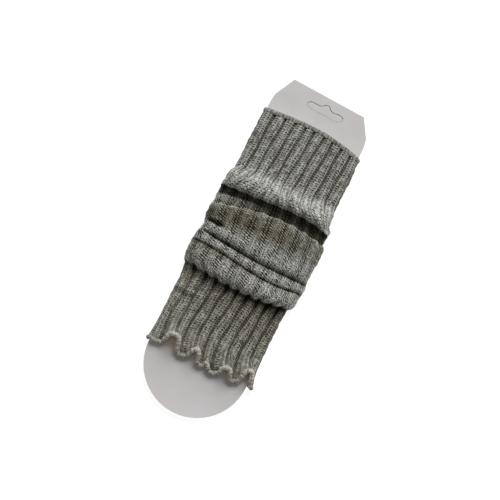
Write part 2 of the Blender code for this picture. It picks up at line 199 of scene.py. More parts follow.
@dataclass(frozen=True)
class FoldLine:
    """One line across the sock on the cloth's path, from its left edge to its right.

    Attributes:
        name: What the line is on the sock.
        places: How far up the board it lies at the path's five stations.
        height: How high the cloth lies there.
        edge_left: The half width to the left.
        edge_right: The half width to the right.
        groove: The grooves' depth, as a share of the flat leg's.
        knit_share: The knit wales' share of a rib's width.
        lights: Painted light and shade at the left, in the middle and at the right, as brightness factors.
        span: How the cloth goes on to the next line.
        arc: How far that span turns in degrees, where it is curved.
    """

    name: str
    places: tuple[float, float, float, float, float]
    height: float
    edge_left: float
    edge_right: float
    groove: float
    knit_share: float
    lights: tuple[float, float, float]
    span: Span = Span.STRAIGHT
    arc: float = 0.0

    def facts(self) -> Array:
        """Its numbers apart from its places, in the order of PathRows."""
        section = (self.height, self.edge_left, self.edge_right)
        return np.array((*section, self.groove, self.knit_share, *self.lights))


@dataclass(frozen=True)
class GrooveStop:
    """Where the middle groove of the front lies at one place along the sock."""

    y: float
    x: float


@dataclass(frozen=True)
class Dent:
    """A fold that dies out across the front.

    Attributes:
        x: Its middle across the sock.
        y: Its middle along the sock.
        half_length: How far it reaches to each side.
        half_width: How wide it is across its own line.
        slope: How much its line climbs for each millimetre to the right.
        depth: How far it is pushed in, or raised where this is under 0.
        dark: How much painted shade it adds, or painted light where this is under 0.
    """

    x: float
    y: float
    half_length: float
    half_width: float
    slope: float
    depth: float
    dark: float = 0.0


@dataclass(frozen=True)
class HemWave:
    """One low of the frilled rim, the arch to its right and how far that loops over."""

    low_x: float
    low_y: float
    low_z: float
    peak_x: float
    peak_y: float
    peak_z: float
    loop: float


@dataclass(frozen=True)
class PaintedHemShadow:
    """A painted shadow under one of the hem's arches."""

    x: float
    y: float
    size: float


@dataclass(frozen=True)
class Gauge:
    """The knit: how many wales a rib has and how long a course is."""

    wales: int = 6
    ribs: int = 22
    course: float = 2.15
    steps_per_wale: int = 2

    @property
    def total(self) -> int:
        """Wales all round the tube."""
        return self.wales * self.ribs


@dataclass
class PathRows:
    """The rows down the cloth's path, one for each half course."""

    lines: Array
    back_lines: Array
    height: Array
    edges: Array
    groove: Array
    knit_share: Array
    lights: Array


# Which of a fold line's facts change with the way along the sock; the others change with height.
GOES_ALONG = np.array((0, 0, 0, 1, 1, 0, 0, 0), bool)


@dataclass
class FoldPath:
    """The cloth's path from the welt over its folds to the start of the hem."""

    gauge: Gauge = field(default_factory=Gauge)
    stations: tuple[float, ...] = (-44.0, -22.0, 0.0, 22.0, 44.0)
    folds_start: float = 168.0
    folds_end: float = 67.0
    lip_sharpness: float = 1.4
    curve_samples: int = 97
    # Each line's last three numbers are its painted light and shade: under 1 painted shade, over 1 painted
    # light.
    lines: tuple[FoldLine, ...] = (
        FoldLine("welt_seam", (212.2, 213.9, 214.4, 212.2, 206.9), 6.5, 45.1, 45.1, 1.0, 0.71,
                 (0.91, 0.93, 0.85)),
        FoldLine("upper_leg", (190.0, 190.0, 190.0, 190.0, 190.0), 6.5, 45.5, 46.0, 1.0, 0.73,
                 (0.90, 0.88, 0.80)),
        FoldLine("crest_foot", (161.5, 165.8, 167.6, 167.4, 166.8), 6.6, 45.2, 45.2, 0.9, 0.76,
                 (1.05, 0.97, 0.90), Span.EASE),
        FoldLine("crest_top", (151.2, 150.8, 150.4, 149.8, 148.8), 18.0, 48.4, 46.8, 0.12, 0.96,
                 (1.38, 1.28, 1.50), Span.LEVEL, 90.0),
        FoldLine("crest_lip", (140.2, 141.5, 142.8, 143.5, 140.6), 13.0, 49.2, 50.2, 0.3, 0.46,
                 (2.1, 2.0, 1.9), Span.UPRIGHT, 75.0),
        FoldLine("valley_top", (143.4, 145.2, 146.5, 146.8, 142.6), 7.0, 48.2, 49.6, 0.6, 0.44,
                 (0.24, 0.28, 0.28)),
        FoldLine("strip_top", (134.2, 138.0, 140.4, 141.2, 139.0), 7.0, 48.4, 49.4, 0.6, 0.42,
                 (0.26, 0.27, 0.28)),
        FoldLine("strip", (132.4, 136.2, 138.6, 139.4, 137.0), 7.8, 48.6, 49.2, 0.5, 0.40,
                 (2.1, 0.34, 0.28)),
        FoldLine("valley_low", (126.6, 129.8, 132.4, 132.8, 130.8), 7.0, 48.6, 49.0, 0.6, 0.36,
                 (0.6, 0.26, 0.24), Span.LEVEL, 80.0),
        FoldLine("panel_edge", (123.5, 130.0, 133.8, 134.4, 131.4), 11.0, 49.4, 50.2, 0.5, 0.36,
                 (1.8, 1.15, 1.0), Span.UPRIGHT, 90.0),
        FoldLine("panel_top", (114.0, 117.0, 119.0, 119.0, 118.0), 15.2, 49.4, 52.2, 0.5, 0.36,
                 (0.34, 0.42, 0.72)),
        FoldLine("panel_low", (106.0, 105.0, 104.0, 103.5, 104.0), 14.2, 47.6, 50.9, 0.3, 0.38,
                 (1.25, 1.34, 1.42), Span.LEVEL, 80.0),
        FoldLine("crease_two", (98.6, 96.5, 94.6, 94.1, 94.5), 8.5, 48.2, 50.4, 0.1, 0.40,
                 (0.08, 0.08, 0.08), Span.UPRIGHT, 65.0),
        FoldLine("roll_top", (93.8, 92.0, 89.8, 88.7, 89.8), 12.2, 49.6, 51.9, 0.15, 0.40,
                 (1.4, 1.3, 1.25), Span.LEVEL, 65.0),
        FoldLine("crease_three", (89.1, 87.7, 85.0, 83.3, 85.1), 8.6, 50.0, 51.0, 0.1, 0.40,
                 (0.12, 0.1, 0.08), Span.UPRIGHT, 75.0),
        FoldLine("ridge_top", (79.5, 78.0, 76.5, 75.5, 78.0), 15.0, 50.2, 50.6, 0.25, 0.42,
                 (0.79, 1.09, 1.66), Span.LEVEL, 60.0),
        FoldLine("ridge_lip", (71.6, 69.0, 67.8, 68.4, 72.0), 11.0, 48.6, 48.4, 0.6, 0.50, (2.0, 2.2, 2.5)),
        FoldLine("ridge_foot", (69.5, 67.0, 65.8, 66.6, 70.4), 7.0, 46.6, 46.4, 1.5, 0.60,
                 (0.40, 0.11, 0.05)),
        FoldLine("lower_leg", (59.0, 58.6, 57.8, 57.6, 58.4), 6.5, 45.1, 45.3, 1.3, 0.70,
                 (0.84, 0.67, 0.59)),
        FoldLine("hem_root", (26.0, 26.0, 26.0, 26.0, 26.0), 6.5, 45.1, 45.2, 1.0, 0.74,
                 (0.98, 0.96, 0.94)),
    )

    def quartic(self, line: FoldLine) -> Array:
        """The smooth curve of y over x through a line's five places."""
        return np.polyfit(self.stations, line.places, 4)

    def shares(self, line: FoldLine, t: float) -> tuple[float, float]:
        """How much of the next line's place and height a row at t takes.

        Args:
            line: The line that the span starts from.
            t: The row's share of the span, from 0 to 1.

        Returns:
            The share along the sock and the share up.
        """
        if line.span is Span.EASE:
            return t, float(soft_step(t))
        if line.span is Span.STRAIGHT:
            return t, t
        turn = math.radians(line.arc)
        far = math.sin(turn * t) / math.sin(turn)
        near = ((1.0 - math.cos(turn * t)) / (1.0 - math.cos(turn))) ** self.lip_sharpness
        return (far, near) if line.span is Span.LEVEL else (near, far)

    def even_steps(self, line: FoldLine, following: FoldLine) -> Array:
        """Where the rows lie in a span, half a course apart along its curve in the middle.

        Args:
            line: The line that the span starts from.
            following: The line that it leads to.

        Returns:
            The rows' shares of the span, from 0 to less than 1.
        """
        steps = np.linspace(0.0, 1.0, self.curve_samples)
        shares = np.array([self.shares(line, float(t)) for t in steps])
        middle = len(self.stations) // 2
        drop = (following.places[middle] - line.places[middle], following.height - line.height)
        run = path_run(shares * drop)
        count = max(round(run[-1] / (self.gauge.course / 2)), 2)
        return np.interp(np.arange(count) * run[-1] / count, run, steps)

    def rows(self) -> PathRows:
        """Works out every row from the welt's seam to the start of the hem.

        Returns:
            The rows' curves, heights, half widths and rib facts.
        """
        curves, facts = [], []
        for line, following in zip(self.lines, self.lines[1:]):
            here, there = self.quartic(line), self.quartic(following)
            now, then = line.facts(), following.facts()
            for t in self.even_steps(line, following):
                along, up = self.shares(line, float(t))
                curves.append(here + (there - here) * along)
                facts.append(now + (then - now) * np.where(GOES_ALONG, along, up))
        curves.append(self.quartic(self.lines[-1]))
        facts.append(self.lines[-1].facts())
        lines, table = np.array(curves), np.array(facts)
        back = self.back_lines(lines, table[:, 0])
        return PathRows(lines, back, table[:, 0], table[:, 1:3], table[:, 3], table[:, 4], table[:, 5:8])

    def back_lines(self, curves: Array, heights: Array) -> Array:
        """Where each row runs on the flat underside: evenly along the cloth's path.

        Args:
            curves: Each row's curve on the front.
            heights: Each row's height.

        Returns:
            Each row's curve on the underside.
        """
        middle = np.stack([curves[:, -1], heights], axis=1)
        run = path_run(middle)
        first = int(np.argmax(middle[:, 0] < self.folds_start))
        last = int(np.max(np.nonzero(middle[:, 0] > self.folds_end)[0]))
        share = np.clip((run - run[first]) / (run[last] - run[first]), 0.0, 1.0)[:, None]
        lines = curves.copy()
        inside = slice(first, last + 1)
        lines[inside] = (curves[first] + (curves[last] - curves[first]) * share)[inside]
        return lines


@dataclass
class TubeSection:
    """One flat tube section: a level top, round sides and a flat bottom."""

    top: float
    edge_left: float
    edge_right: float
    lower_corner: float = 3.25

    def corners(self, side: int) -> Array:
        """How far round from the middle of the top each whole place lies.

        Args:
            side: 1 for the right half and -1 for the left.

        Returns:
            Five lengths, from 0.
        """
        edge = self.edge_right if side > 0 else self.edge_left
        reach = self.top / 2
        upper = math.hypot(reach, self.top - self.lower_corner) / math.sqrt(2) * math.pi / 2
        lower = self.lower_corner * math.pi / 2
        return np.cumsum([0.0, edge - reach, upper, lower, edge - self.lower_corner])

    def points(self, side: int, place: Array) -> tuple[Array, Array]:
        """The x and z of places from 0, the middle of the top, to 4, that of the bottom.

        Args:
            side: 1 for the right half and -1 for the left.
            place: Whole numbers are the section's corners.

        Returns:
            Two arrays, x and z.
        """
        edge = self.edge_right if side > 0 else self.edge_left
        reach, corner = self.top / 2, self.lower_corner
        turn = (place - 1) * math.pi / 2
        sine, cosine = np.sin(turn), np.cos(turn)
        stretches = [place <= 1, place <= 2, place < 3]
        outward = [(edge - reach) * place, edge - reach + reach * sine, edge - corner + corner * sine]
        upward = [np.full_like(place, self.top), corner + (self.top - corner) * cosine, corner * (1 + cosine)]
        x = np.select(stretches, outward, (edge - corner) * (4 - place))
        return side * x, np.select(stretches, upward, 0.0)


@dataclass
class KnitLeg:
    """The knitted tube: flat ribs, cross folds, frilled hem and the plain inside."""

    path: FoldPath = field(default_factory=FoldPath)
    # Ribs and grooves: how wide they lie on the front, and where the middle groove runs
    half_ribs: float = 5.4
    pitch_top: float = 8.7
    pitch_folds: float = 13.0
    pitch_lower: float = 9.3
    pitch_opens: tuple[float, float] = (142.0, 154.0)
    pitch_closes: tuple[float, float] = (64.0, 74.0)
    middle_groove: tuple[GrooveStop, ...] = (
        GrooveStop(20.0, -1.6),
        GrooveStop(62.0, 3.0),
        GrooveStop(77.0, 4.4),
        GrooveStop(115.0, 3.2),
        GrooveStop(161.0, -2.4),
        GrooveStop(214.0, 1.8),
    )
    groove_depth: float = 1.45
    back_groove: float = 0.55
    # Section: the outside over the board, and the plain slot inside that holds it
    side_place: float = 2.5
    back_blend: tuple[float, float] = (1.4, 2.6)
    line_reach: float = 46.0
    crown: float = 0.12
    crown_reach: float = 50.0
    flat_top: float = 6.5
    sway: float = 0.45
    side_bumps: float = 0.45
    back_wall: float = 2.6
    inside_top: float = 3.9
    inside_half: float = 44.05
    thinnest: float = 0.7
    slot_corner: float = 25 / 27
    slot_down: float = 1.04
    slot_back: float = 2.03
    # Small folds on the front
    # Each dent's seventh number is its painted shade, or painted light where it is under 0.
    dents: tuple[Dent, ...] = (
        Dent(-38.0, 108.6, 10.5, 1.5, -0.03, 4.6, 1.8),
        Dent(-49.5, 98.8, 12.0, 2.4, -0.1, -6.0, -1.8),
        Dent(-24.0, 97.0, 22.0, 1.0, -0.07, 0.4, 0.7),
        Dent(-42.0, 126.6, 26.0, 1.3, 0.32, 2.0, 0.6),
        Dent(-42.0, 50.2, 30.0, 1.6, -0.02, -0.9, -1.0),
        Dent(-40.0, 45.8, 26.0, 2.0, -0.02, 0.7, 0.4),
        Dent(46.0, 47.0, 16.0, 4.0, 0.1, -0.5),
    )
    dent_fade: float = 5.0
    # Hem: its frilled edge, its walls and its underside
    waves: tuple[HemWave, ...] = (
        HemWave(-39.0, 1.6, 5.4, -25.2, 14.0, 14.0, 0.070),
        HemWave(-15.0, 0.0, 5.2, -4.2, 10.6, 12.5, 0.078),
        HemWave(2.4, -0.8, 5.2, 6.8, 4.4, 8.4, 0.055),
        HemWave(12.0, -1.6, 5.2, 25.2, 8.4, 12.5, 0.078),
        HemWave(30.4, -0.4, 5.2, 42.4, 14.8, 13.0, 0.065),
        HemWave(47.2, 2.2, 5.8, 47.2, 2.2, 5.8, 0.0),
    )
    wave_steps: int = 60
    hem_metric: tuple[float, float, float] = (1.0, 0.5, 0.5)
    hem_rows: int = 26
    hem_inside_rows: int = 16
    hem_wall: float = 1.5
    hem_front_place: float = 1.6
    hem_side_y: float = 2.2
    hem_flare: tuple[float, float] = (1.2, 3.4)
    back_hem_y: float = 3.0
    back_wave: float = 1.0
    back_waves: int = 4
    hem_beside: float = 25.2 / 27
    hem_over: float = 22.2 / 27
    # Stitch relief: heights in millimetres, widths in wales, side and back by place on the ring
    wale_relief: float = 0.22
    hole_relief: float = 0.18
    hole_half: float = 0.4
    stitch_middle: float = 2.0
    rib_crown: float = 0.18
    purl_mesh: float = 0.1
    groove_edge: tuple[float, float] = (0.55, 1.35)
    knit_edge: tuple[float, float] = (0.7, 1.3)
    side_starts: float = 1.3
    side_calm: float = 0.7
    calm_between: tuple[float, float] = (1.0, 1.7)
    front_fades: tuple[float, float] = (2.1, 2.9)
    back_starts: tuple[float, float] = (3.0, 3.2)
    hem_calm: float = 0.75
    hem_calm_from: float = 0.35
    # Openness of the knit, and the painted light and shade on the folds
    flat_share: float = 0.70
    lets_go: tuple[float, float] = (0.08, 0.2)
    side_mesh: float = 0.6
    hem_opened: float = 0.7
    hem_opens_row: int = 3
    rib_light: float = 0.85
    rib_face: tuple[float, float] = (0.8, 1.7)
    rib_light_ends: tuple[float, float] = (0.25, 0.6)
    dent_shade_strength: float = 0.85
    lit_fold: float = 1.1
    shade_fades: tuple[float, float] = (1.6, 2.6)
    # Painted shadows under the hem's arches: their places and sizes.
    painted_hem_shadows: tuple[PaintedHemShadow, ...] = (
        PaintedHemShadow(-36.0, 4.0, 2.5),
        PaintedHemShadow(-13.5, 3.8, 3.0),
        PaintedHemShadow(11.0, 3.0, 3.2),
        PaintedHemShadow(25.5, 4.4, 2.6),
        PaintedHemShadow(45.0, 5.0, 2.6),
    )
    painted_shadow_dark: float = 0.6

    def __post_init__(self) -> None:
        """Works out the columns' wales and the rows."""
        gauge = self.path.gauge
        reach = math.floor(self.half_ribs * gauge.wales * gauge.steps_per_wale + 0.5) / gauge.steps_per_wale
        front = np.arange(-reach, reach + 0.01, 1.0 / gauge.steps_per_wale)
        back = np.arange(reach + 1.0, gauge.total - reach - 0.5, 1.0)
        self.reach = reach
        self.front_count = len(front)
        self.wales = np.concatenate([front, back])
        self.path_rows = self.path.rows()
        self.places: Array = np.zeros(0)
        self.all_places: Array = np.zeros((0, 0))
        self.painted_dent_shade: Array = np.zeros((0, 0))
        self.edge_points: Array = np.zeros((0, 3))
        self.edge_normals: Array = np.zeros((0, 3))
        self.seam_ring: Array = np.zeros((0, 3))
        self.courses = 0.0

    def flat_cut(self) -> tuple[float, float]:
        """The knitted tube's cut.

        Returns:
            Its flat size in metres: all round, and along its path.
        """
        around = self.path.gauge.ribs * self.pitch_top
        along = (len(self.path_rows.height) + self.hem_rows) * self.path.gauge.course / 2
        return around * MM, along * MM

    def pitch(self, y: float) -> float:
        """The width of one rib and its groove: stretched flat, or let go in the folds.

        Args:
            y: The place along the sock.

        Returns:
            The width.
        """
        above = 1.0 - float(soft_step(y, *self.pitch_opens))
        below = float(soft_step(y, *self.pitch_closes))
        flat = self.pitch_top if y > (self.pitch_opens[0] + self.pitch_closes[1]) / 2 else self.pitch_lower
        return flat + (self.pitch_folds - flat) * above * below

    def line_y(self, line: Array, x: Array) -> Array:
        """Where a line across the sock lies at x, level past the board's edges."""
        return np.polyval(line, np.clip(x, -self.line_reach, self.line_reach))

    def from_groove(self) -> Array:
        """How many wales each column lies from the middle of the nearest groove."""
        rib = self.wales / self.path.gauge.wales
        return np.abs(rib - np.round(rib)) * self.path.gauge.wales

    def back_shares(self) -> Array:
        """How far round the underside each of its columns lies, from 0 to 1."""
        return (self.wales[self.front_count :] - self.reach) / (self.path.gauge.total - 2 * self.reach)

    def rib_turns(self, share: float) -> Array:
        """The front columns' places in ribs.

        Args:
            share: The knit wales' share of a rib's width.

        Returns:
            One place for each column, whole in the grooves' middles.
        """
        wales = self.wales[: self.front_count] / self.path.gauge.wales
        whole = np.round(wales)
        rest = wales - whole
        purl = np.minimum(np.abs(rest), 1 / 6) * 3.0 * (1.0 - share)
        knit = np.maximum(np.abs(rest) - 1 / 6, 0.0) * 1.5 * share
        return whole + np.sign(rest) * (purl + knit)

    def ring_places(self, section: TubeSection, y: float, share: float) -> tuple[Array, Array]:
        """The side and place of every column on one ring.

        Args:
            section: The ring's section.
            y: Where the ring crosses the middle.
            share: The knit wales' share of a rib.

        Returns:
            Sides, 1 or -1, and places from 0 to 4.
        """
        half_width = self.pitch(y) * self.half_ribs
        middle = float(np.interp(y, [s.y for s in self.middle_groove], [s.x for s in self.middle_groove]))
        turns = self.rib_turns(share) / (self.reach / self.path.gauge.wales)
        ends = {side: float(np.interp(self.side_place, range(5), section.corners(side))) for side in (-1, 1)}
        end = np.where(turns >= 0, ends[1], ends[-1])
        front = end * turns + ((half_width - end) * turns + middle) * (1 - turns * turns)
        rests = {side: section.corners(side)[-1] - ends[side] for side in (-1, 1)}
        onward = self.back_shares() * (rests[1] + rests[-1])
        on_right = onward <= rests[1]
        back = np.where(on_right, ends[1] + onward, -(ends[-1] + rests[1] + rests[-1] - onward))
        run = np.concatenate([front, back])
        sides = np.where(run >= 0, 1, -1)
        right, left = (np.interp(np.abs(run), section.corners(side), range(5)) for side in (1, -1))
        return sides, np.where(sides > 0, right, left)

    def dent_depth(self, x: Array, y: Array, proud: float) -> tuple[Array, Array]:
        """How far the dents press the front in, the deep ones only where a fold stands.

        Args:
            x: The points' places across the sock.
            y: Their places along it.
            proud: How far the row stands over the flat leg.

        Returns:
            The depth, and the dents' painted shade at each point, which is painted light where it is under 0.
        """
        depth, dark = np.zeros_like(x), np.zeros_like(x)
        for dent in self.dents:
            along = (x - dent.x) / dent.half_length
            across = (y - dent.y - dent.slope * (x - dent.x)) / dent.half_width
            fade = np.clip(1 - along * along, 0.0, 1.0) ** 2
            held = float(soft_step(proud, 0.0, self.dent_fade)) if dent.depth > 1.0 else 1.0
            depth += dent.depth * held * fade * np.exp(-across * across)
            dark += dent.dark * held * fade * np.exp(-across * across)
        return depth, dark

    def side_bump(self, x: Array, y: Array, places: Array) -> Array:
        """Small uneven bumps that the stitches give the tube's side outlines.

        Args:
            x: The points' places across the sock.
            y: Their places along it.
            places: Their places on the ring.

        Returns:
            How far each point moves along x.
        """
        phase = np.where(x > 0, 0.0, 2.1)
        waves = np.sin(y * 1.05 + phase) + np.sin(y * 0.61 + 1.3 * phase) + np.sin(y * 0.27 + phase)
        return np.sign(x) * self.side_bumps * (waves / 3 + 0.5) * soft_step(places, 0.9, 1.8)

    def smooth_rings(self) -> Array:
        """The outside without ribs, from the welt's seam to the start of the hem.

        Returns:
            Rows, columns and three coordinates.
        """
        rows, rings, places_seen, painted_dent_shade = self.path_rows, [], [], []
        for line, back_line, height, edges, share in zip(
            rows.lines, rows.back_lines, rows.height, rows.edges, rows.knit_share
        ):
            section = TubeSection(float(height), float(edges[0]), float(edges[1]))
            sides, places = self.ring_places(section, float(line[-1]), float(share))
            right, left = section.points(1, places), section.points(-1, places)
            x = np.where(sides > 0, right[0], left[0])
            z = np.where(sides > 0, right[1], left[1])
            to_back = soft_step(places, *self.back_blend)
            y = self.line_y(line, x) * (1 - to_back) + self.line_y(back_line, x) * to_back
            x = x + self.side_bump(x, y, places) + self.sway * np.sin(y * 0.14 + x * 0.31) * (places < 1.0)
            proud = max(float(height) - self.flat_top, 0.0)
            # The dents press the cloth in, and also give painted shade or painted light, which is kept for
            # the painted light mark.
            depth, dark = self.dent_depth(x, y, proud)
            drop = proud * self.crown * (x / self.crown_reach) ** 2 + depth
            rings.append(np.stack([x, y, z - drop * z / height], axis=1))
            places_seen.append(places)
            painted_dent_shade.append(dark)
        self.places = places_seen[-1]
        self.all_places = np.array(places_seen)
        self.painted_dent_shade = np.array(painted_dent_shade)
        return np.array(rings)

    def wall_room(self, rings: Array) -> Array:
        """How far each point may go in before it comes near the board's slot."""
        return np.maximum(np.abs(rings[:, :, 0]) - self.inside_half - self.thinnest, 0.0)

    def stitch_relief(self, rows: int, grooves: Array, wall_room: Array, places: Array) -> Array:
        """How far each point stands in or out for its rib, wale and stitch.

        Args:
            rows: How many rows there are.
            grooves: The grooves' depth share for each row.
            wall_room: How far each point may go in beside the board.
            places: Each point's place on its ring.

        Returns:
            Millimetres outward, for each row and column.
        """
        away = self.from_groove()
        beat = np.where(np.arange(rows) % 2 == 0, 1.0, -1.0)[:, None]
        sunk = 1.0 - soft_step(away, *self.groove_edge)
        crowned = self.rib_crown * np.cos((away - self.path.gauge.wales / 2) * math.pi / 4.0)
        knit = soft_step(away, *self.knit_edge)
        from_middle = np.abs(away - self.stitch_middle)
        ridge = self.wale_relief * (from_middle * 2 - 1.0)
        hole = -self.hole_relief * np.maximum(1 - from_middle / self.hole_half, 0.0) * (1 + beat)
        mesh = self.purl_mesh * self.hole_relief * np.cos(math.pi * 2 * away) * beat
        fine = knit * (ridge + hole + crowned) + (1 - knit) * mesh
        front = 1.0 - soft_step(places, *self.front_fades)
        on_side = places > self.side_starts
        sink = np.minimum(self.groove_depth * grooves[:, None], np.where(on_side, wall_room, math.inf)) * sunk
        under = self.back_groove * sunk * soft_step(places, *self.back_starts)
        calm = 1.0 - self.side_calm * soft_step(places, *self.calm_between)
        return front * (calm * np.where(on_side, np.minimum(1.0, wall_room * 2), 1.0) * fine - sink) - under

    def hem_relief(self, rings: Array, rows_above: int) -> Array:
        """The stitches' relief on the hem, in step with the rows above it and less at the rim.

        Args:
            rings: The hem's smooth rings.
            rows_above: How many rows the leg has above the hem.

        Returns:
            Millimetres outward, for each row and column.
        """
        rows, odd = len(rings), rows_above % 2
        room, grooves = self.wall_room(rings)[:1], np.ones(rows + odd)
        relief = self.stitch_relief(rows + odd, grooves, room, self.places[None])
        fade = 1.0 - self.hem_calm * soft_step(np.linspace(0.0, 1.0, rows), self.hem_calm_from, 1.0)
        return relief[odd:] * fade[:, None]

    def hem_curve(self, left_end: Array, right_end: Array) -> Array:
        """Points along the frilled rim over the front, between its side stretches.

        Args:
            left_end: The rim's first point.
            right_end: Its last point.

        Returns:
            The points from left to right.
        """
        curve = [tuple(left_end)]
        for wave, following in zip(self.waves, self.waves[1:]):
            for step in range(self.wave_steps):
                t = step / self.wave_steps
                swing = t + wave.loop * math.sin(4 * math.pi * t)
                rise = (1 - math.cos(2 * math.pi * t)) / 2
                low = wave if t < 0.5 else following
                if t < 0.5:
                    x = wave.low_x + (wave.peak_x - wave.low_x) * 2 * swing
                else:
                    x = wave.peak_x + (following.low_x - wave.peak_x) * (2 * swing - 1)
                y = low.low_y + (wave.peak_y - low.low_y) * rise
                z = low.low_z + (wave.peak_z - low.low_z) * rise
                curve.append((x, y, z))
        curve.append(tuple(right_end))
        return np.array(curve)

    def hem_targets(self, root: Array) -> Array:
        """Where each column of the hem's first ring ends on the frilled edge.

        Args:
            root: The ring that the hem starts from.

        Returns:
            The frilled edge, a point for each column.
        """
        targets = root.copy()
        half = self.inside_half - 0.3
        wave = np.cos(math.pi * self.back_waves * root[:, 0] / half)
        wave = wave * soft_step(np.abs(root[:, 0]), half, 34.0)
        to_back = soft_step(self.places, 2.0, 3.0)
        outward = soft_step(self.places, 1.0, self.hem_front_place) * (1 - to_back)
        flare = np.where(root[:, 0] < 0, -self.hem_flare[0], self.hem_flare[1])
        targets[:, 0] += flare * outward
        back_y = self.back_hem_y + self.back_wave * wave
        targets[:, 1] = self.hem_side_y + (back_y - self.hem_side_y) * to_back
        front = np.nonzero(self.places[: self.front_count] < self.hem_front_place)[0]
        curve = self.hem_curve(targets[front[0]], targets[front[-1]])
        run = path_run(curve * self.hem_metric)
        spots = np.linspace(0.0, run[-1], len(front))
        targets[front] = np.stack([np.interp(spots, run, curve[:, i]) for i in range(3)], axis=1)
        return targets

    def hem_outside(self, root: Array) -> Array:
        """Rings from the flat leg to the frilled edge, flaring more and more.

        Args:
            root: The ring that the hem starts from.

        Returns:
            The hem's smooth rings below it.
        """
        targets = self.hem_targets(root)
        rings = []
        for step in range(1, self.hem_rows + 1):
            t = step / self.hem_rows
            shares = np.array((t**2.6, t, t**2.2))
            rings.append(root + (targets - root) * shares)
        return np.array(rings)

    def toward_slot(self, points: Array, reach: float) -> Array:
        """Points moved toward the nearest place of the inside slot, not quite onto it.

        Args:
            points: The points to move.
            reach: How far they move at most.

        Returns:
            The moved points.
        """
        nearest = points.copy()
        nearest[:, 0] = np.clip(points[:, 0], -self.inside_half, self.inside_half)
        nearest[:, 2] = np.clip(points[:, 2], self.back_wall, self.inside_top)
        away = np.linalg.norm(nearest - points, axis=1, keepdims=True)
        return points + (nearest - points) * np.minimum(reach / np.maximum(away, 0.3), 0.8)

    def inside_ring(self, ring: Array) -> Array:
        """The plain inside beside a ring: a slot with a column at each corner.

        Args:
            ring: The outside ring, for its places along the sock.

        Returns:
            The inside ring.
        """
        front = self.wales[: self.front_count] / self.reach
        x = np.clip(front / self.slot_corner, -1.0, 1.0) * self.inside_half
        down = np.clip((np.abs(front) - self.slot_corner) / (self.slot_down - self.slot_corner), 0.0, 1.0)
        z = self.inside_top - (self.inside_top - self.back_wall) * down
        back_x = np.clip((0.5 - self.back_shares()) * self.slot_back, -1.0, 1.0) * self.inside_half
        xs = np.concatenate([x, back_x])
        zs = np.concatenate([z, np.full(len(back_x), self.back_wall)])
        return np.stack([xs, ring[:, 1], zs], axis=1)

    def hem_inside(self, rings: Array, normals: Array) -> Array:
        """The hem's inside: plain at its root, a thin even wall at its edge.

        Args:
            rings: The hem's smooth rings.
            normals: Their outward normals.

        Returns:
            The inside rings, from the edge back to the root.
        """
        inner = []
        picked = np.linspace(len(rings) - 1, 0, self.hem_inside_rows).round().astype(int)
        front_wales = np.abs(self.wales[: self.front_count])
        beside = np.nonzero(front_wales <= self.reach * self.hem_beside)[0]
        front = np.nonzero(front_wales <= self.reach * self.hem_over)[0]
        for i in picked:
            plain = self.inside_ring(rings[i])
            thin = plain.copy()
            thin[beside] = self.toward_slot(rings[i][beside], self.hem_wall)
            thin[front] = rings[i][front] - normals[i][front] * self.hem_wall
            thin[front, 2] = np.maximum(thin[front, 2], self.inside_top)
            share = float(soft_step((i + 1) / len(rings), 0.0, 0.5))
            inner.append(plain + (thin - plain) * share)
        return np.array(inner)

    def build(self, place: BoardPlace) -> bpy.types.Object:
        """Builds the whole tube as one closed shell with its stitches as UV.

        Args:
            place: Where the board's axes lie in the frame.

        Returns:
            The new piece.
        """
        smooth = self.smooth_rings()
        room, grooves = self.wall_room(smooth), self.path_rows.groove
        relief = self.stitch_relief(len(smooth), grooves, room, self.all_places)
        outside = smooth + grid_normals(smooth) * relief[:, :, None]
        hem_smooth = self.hem_outside(smooth[-1])
        hem_normals = grid_normals(np.concatenate([smooth[-2:], hem_smooth]))[2:]
        hem = hem_smooth + hem_normals * self.hem_relief(hem_smooth, len(smooth))[:, :, None]
        for wall in (outside, hem):
            wall[:, :, 2] = np.maximum(wall[:, :, 2], 0.0)
        inner = self.hem_inside(hem_smooth, hem_normals)
        seam = self.inside_ring(smooth[0])
        seam[:, 1] = self.line_y(self.path_rows.lines[0], seam[:, 0])
        rings = np.concatenate([outside, hem, inner, [self.inside_ring(smooth[-1])], [seam]])
        self.edge_points, self.edge_normals, self.seam_ring = hem[-1], hem_normals[-1], smooth[0]
        down = self.courses_down(smooth, rings)
        self.courses = float(down.max() + 2.0)
        down = np.vstack([down, np.full(rings.shape[1], self.courses)]) / self.courses
        across = np.append((self.wales + self.reach) / self.path.gauge.total, 1.0)
        # The second mark is painted light and shade, which the material multiplies into the colour.
        marks = {"opened": self.opened_share(smooth, rings), "shelter": self.paint_light_and_shade(rings)}
        return RingWall("knit_leg", "stitches", rings, across, down, marks).build(place)

    def opened_share(self, smooth: Array, rings: Array) -> Array:
        """How far the purl wales are let go, so that slots open in them.

        Args:
            smooth: The leg's smooth rings.
            rings: All rings of the wall.

        Returns:
            Shares for every ring and column, 0 where the grooves are closed.
        """
        opened = np.zeros(rings.shape[:2])
        lifted = 1.0 + 0.4 * soft_step(-self.path_rows.groove, -0.6, -0.3)
        let_go = soft_step(np.abs(self.path_rows.knit_share - self.flat_share), *self.lets_go)
        below_folds = smooth[:, :, 1] < self.path.folds_end
        pulled = self.side_mesh * soft_step(-smooth[:, :, 0], 18.0, 36.0) * below_folds
        opened[: len(smooth)] = np.maximum((let_go * lifted)[:, None], pulled)
        hem = soft_step(np.arange(self.hem_rows), self.hem_opens_row, self.hem_rows)
        opened[len(smooth) : len(smooth) + self.hem_rows] = self.hem_opened * hem[:, None]
        return opened

